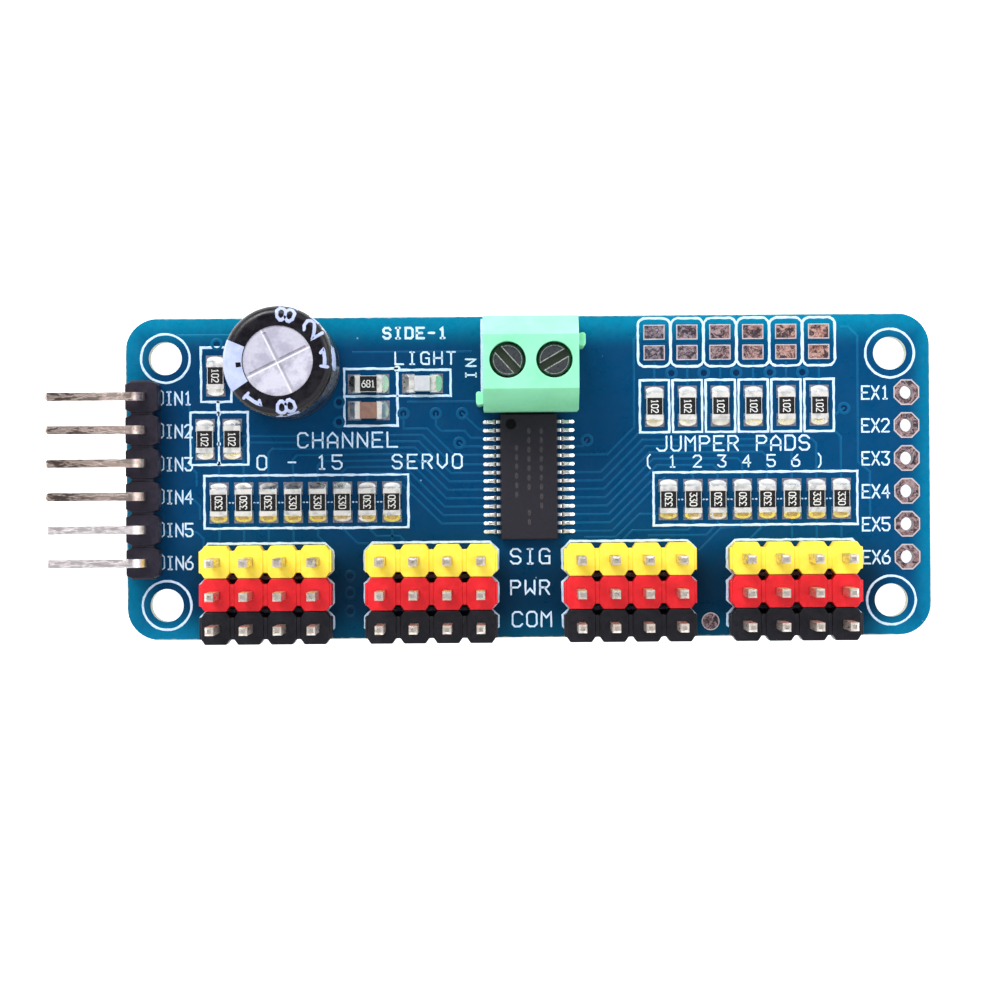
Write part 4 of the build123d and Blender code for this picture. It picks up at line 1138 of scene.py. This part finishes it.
def build_slot_highlights(side):
    """Painted highlights along a screw's slot and around its head; they turn with the screw."""
    edges = Piece()
    low, high = box_mm(f"terminal_screw_{side}")
    x, y = (low.x + high.x) / 2, (low.y + high.y) / 2
    on_head = above(high.z)
    turn = math.radians(SLOT_ANGLES[side])
    for offset in (-SLOT_WIDTH / 2 - 0.05, SLOT_WIDTH / 2 + 0.05):
        reach = math.sqrt(HEAD_RADIUS ** 2 - offset ** 2) - 0.14
        points = [turned(x, y, u, offset, turn) for u in (-reach, reach)]
        ribbon(edges, points, 0.09, 0.02, on_head, wobble=0.012, step=0.2)
    # The rim's two arcs of painted highlight stop short of the slot
    gap = math.asin((SLOT_WIDTH / 2 + 0.12) / HEAD_RADIUS)
    for start in (turn + gap, turn + math.pi + gap):
        arc = circle_points(x, y, HEAD_RADIUS - 0.15, 24, start, math.pi - 2 * gap)
        ribbon(edges, arc, 0.045, 0.012, on_head, wobble=0.008, step=0.3)
    edges.make(f"slot_highlights_{side}", "slot_highlight", f"terminal_screw_{side}")


for side in ("left", "right"):
    build_slot_highlights(side)


# ------------ capacitor print
SLEEVE_RIM = 0.65
SLEEVE_OPENING = 2.6
PRINT_BASE = 5.4  # the digits' base line, as a run over the sleeve


def sleeve_point(angle, run, height):
    """A point on the sleeve; run is the way from the opening's edge outwards and down the side."""
    flat = CAN_RADIUS - SLEEVE_RIM - SLEEVE_OPENING
    curve = SLEEVE_RIM * math.pi / 2
    if run < flat:
        radius, z, nr, nz = SLEEVE_OPENING + run, can_high.z, 0.0, 1.0
    elif run < flat + curve:
        t = (run - flat) / SLEEVE_RIM
        radius = CAN_RADIUS - SLEEVE_RIM + SLEEVE_RIM * math.sin(t)
        z = can_high.z - SLEEVE_RIM + SLEEVE_RIM * math.cos(t)
        nr, nz = math.sin(t), math.cos(t)
    else:
        radius, z, nr, nz = CAN_RADIUS, can_high.z - SLEEVE_RIM - (run - flat - curve), 1.0, 0.0
    radius += nr * height
    x, y = turned(can_middle.x, can_middle.y, radius, 0.0, angle)
    return (x, y, z + nz * height)


def sleeve_surface(x, y, height):
    """Maps a flat print around the sleeve: x is arc length at the rim, y the way up from the base line."""
    return sleeve_point(x / CAN_RADIUS, PRINT_BASE - y, height)


def sleeve_patch(piece, start, end, run_start, run_end, height, columns=24, rows=90):
    """A printed area on the sleeve, as a thin closed skin."""

    def skin(level):
        rings = [run_start + (run_end - run_start) * j / rows for j in range(rows + 1)]
        angles = [start + (end - start) * i / columns for i in range(columns + 1)]
        return [[sleeve_point(angle, run, level) for angle in angles] for run in rings]

    piece.shell(skin(height), skin(-0.005))


def build_sleeve_print():
    """The pale polarity stripe with its minus marks, and plain value digits around the sleeve."""
    stripe = Piece()
    middle = math.radians(185.5)
    half = math.radians(28.5)
    sleeve_patch(stripe, middle - half, middle + half, 0.05, 9.0, 0.014)
    # Each line of digits starts on the rim and runs down the side
    for text, degrees in (("820", 80), ("25", 42), ("1000", 3), ("85", -80), ("1", -122)):
        arc = math.radians(degrees) * CAN_RADIUS
        letters(stripe, text, arc - 0.75, PRINT_BASE - 0.42, 1.5, 1.25, line=0.3, turn=-math.pi / 2,
                surface=sleeve_surface, thick=0.03, wobble=0.01, step=0.1)
    stripe.make("sleeve_print", "sleeve_print")
    dashes = Piece()
    for run, length in ((0.12, 0.38), (3.2, 1.6), (6.2, 1.6)):
        sleeve_patch(dashes, middle - 0.06, middle + 0.06, run, run + length, 0.024, 4, 16)
    dashes.make("sleeve_dashes", "shrink_sleeve")


build_sleeve_print()


# ------------ stage
BRIGHTEST = 1.5


def world():
    """Pale surroundings with one dark patch straight overhead, so that gloss stays dark from above."""
    scene_world = bpy.data.worlds.new("studio")
    bpy.context.scene.world = scene_world
    scene_world.use_nodes = True
    tree = scene_world.node_tree
    tree.nodes.clear()
    kinds = ("OutputWorld", "MixShader", "Background", "Background", "LightPath", "TexCoord")
    made = [tree.nodes.new("ShaderNode" + kind) for kind in kinds + ("SeparateXYZ", "ValToRGB")]
    output, chooser, glow, plain, light_path, place, split, ramp = made
    bands = ((0.0, 0.8), (0.25, 1.0), (0.6, 1.2), (0.9, 1.5), (0.955, 0.3), (1.0, 0.2))
    elements = ramp.color_ramp.elements
    elements[0].position = bands[0][0]
    elements[1].position = bands[-1][0]
    for position, _ in bands[1:-1]:
        elements.new(position)
    for element, (_, level) in zip(elements, bands):
        element.color = (level / BRIGHTEST * 0.97, level / BRIGHTEST, level / BRIGHTEST * 1.03, 1)
    glow.inputs["Strength"].default_value = BRIGHTEST
    plain.inputs["Color"].default_value = (1.0, 1.0, 1.0, 1)
    plain.inputs["Strength"].default_value = 1.0
    for source, target in (
        (place.outputs["Generated"], split.inputs[0]),
        (split.outputs["Z"], ramp.inputs["Fac"]),
        (ramp.outputs["Color"], glow.inputs["Color"]),
        (light_path.outputs["Is Camera Ray"], chooser.inputs["Fac"]),
        (glow.outputs[0], chooser.inputs[1]),
        (plain.outputs[0], chooser.inputs[2]),
        (chooser.outputs[0], output.inputs["Surface"]),
    ):
        tree.links.new(source, target)


def floor():
    """A pale floor under the pin tails, bright enough to stay white from above."""
    s = Shader("floor_paper", roughness=0.9, specular=0.1)
    s.set("Base Color", s.mix(s.noise(40.0), (250, 250, 250), (246, 246, 247)))
    s.set("Emission Color", (1.0, 1.0, 1.0, 1.0))
    s.set("Emission Strength", 0.8)
    mesh = bpy.data.meshes.new("floor")
    level = min(box_mm("servo_pins_1")[0].z, box_mm("terminal_contacts")[0].z) - 0.02
    reach = 1500
    corners = rectangle_points(-reach, -reach, reach, reach)
    mesh.from_pydata([(x * MM, y * MM, level * MM) for x, y in corners], [], [(0, 1, 2, 3)])
    mesh.materials.append(s.material)
    place_object("floor", mesh)


def area_light(name, place, size, power):
    """A soft panel aimed at the board's middle."""
    data = bpy.data.lights.new(name, "AREA")
    data.shape = "RECTANGLE"
    data.size, data.size_y = size
    data.energy = power
    panel = place_object(name, data)
    panel.location = place
    panel.rotation_euler = (-Vector(place)).to_track_quat("-Z", "Y").to_euler()


def camera():
    """Straight above the board, a little off its middle, turned slightly, as the board was seen."""
    data = bpy.data.cameras.new("camera")
    height = 262.0
    frame_width = 77.24
    data.sensor_width = 36.0
    data.lens = data.sensor_width * height / frame_width
    data.clip_start = 0.01
    data.clip_end = 10.0
    eye = place_object("camera", data)
    eye.location = (-2.16 * MM, -1.62 * MM, (BOARD_TOP + height) * MM)
    eye.rotation_euler = (0.0, 0.0, math.radians(-0.435))
    bpy.context.scene.camera = eye


world()
floor()
area_light("key", (-0.16, 0.30, 0.34), (0.24, 0.18), 1.55)
area_light("fill", (0.30, 0.10, 0.26), (0.2, 0.2), 0.3)
camera()
bpy.context.scene.view_settings.view_transform = "Standard"
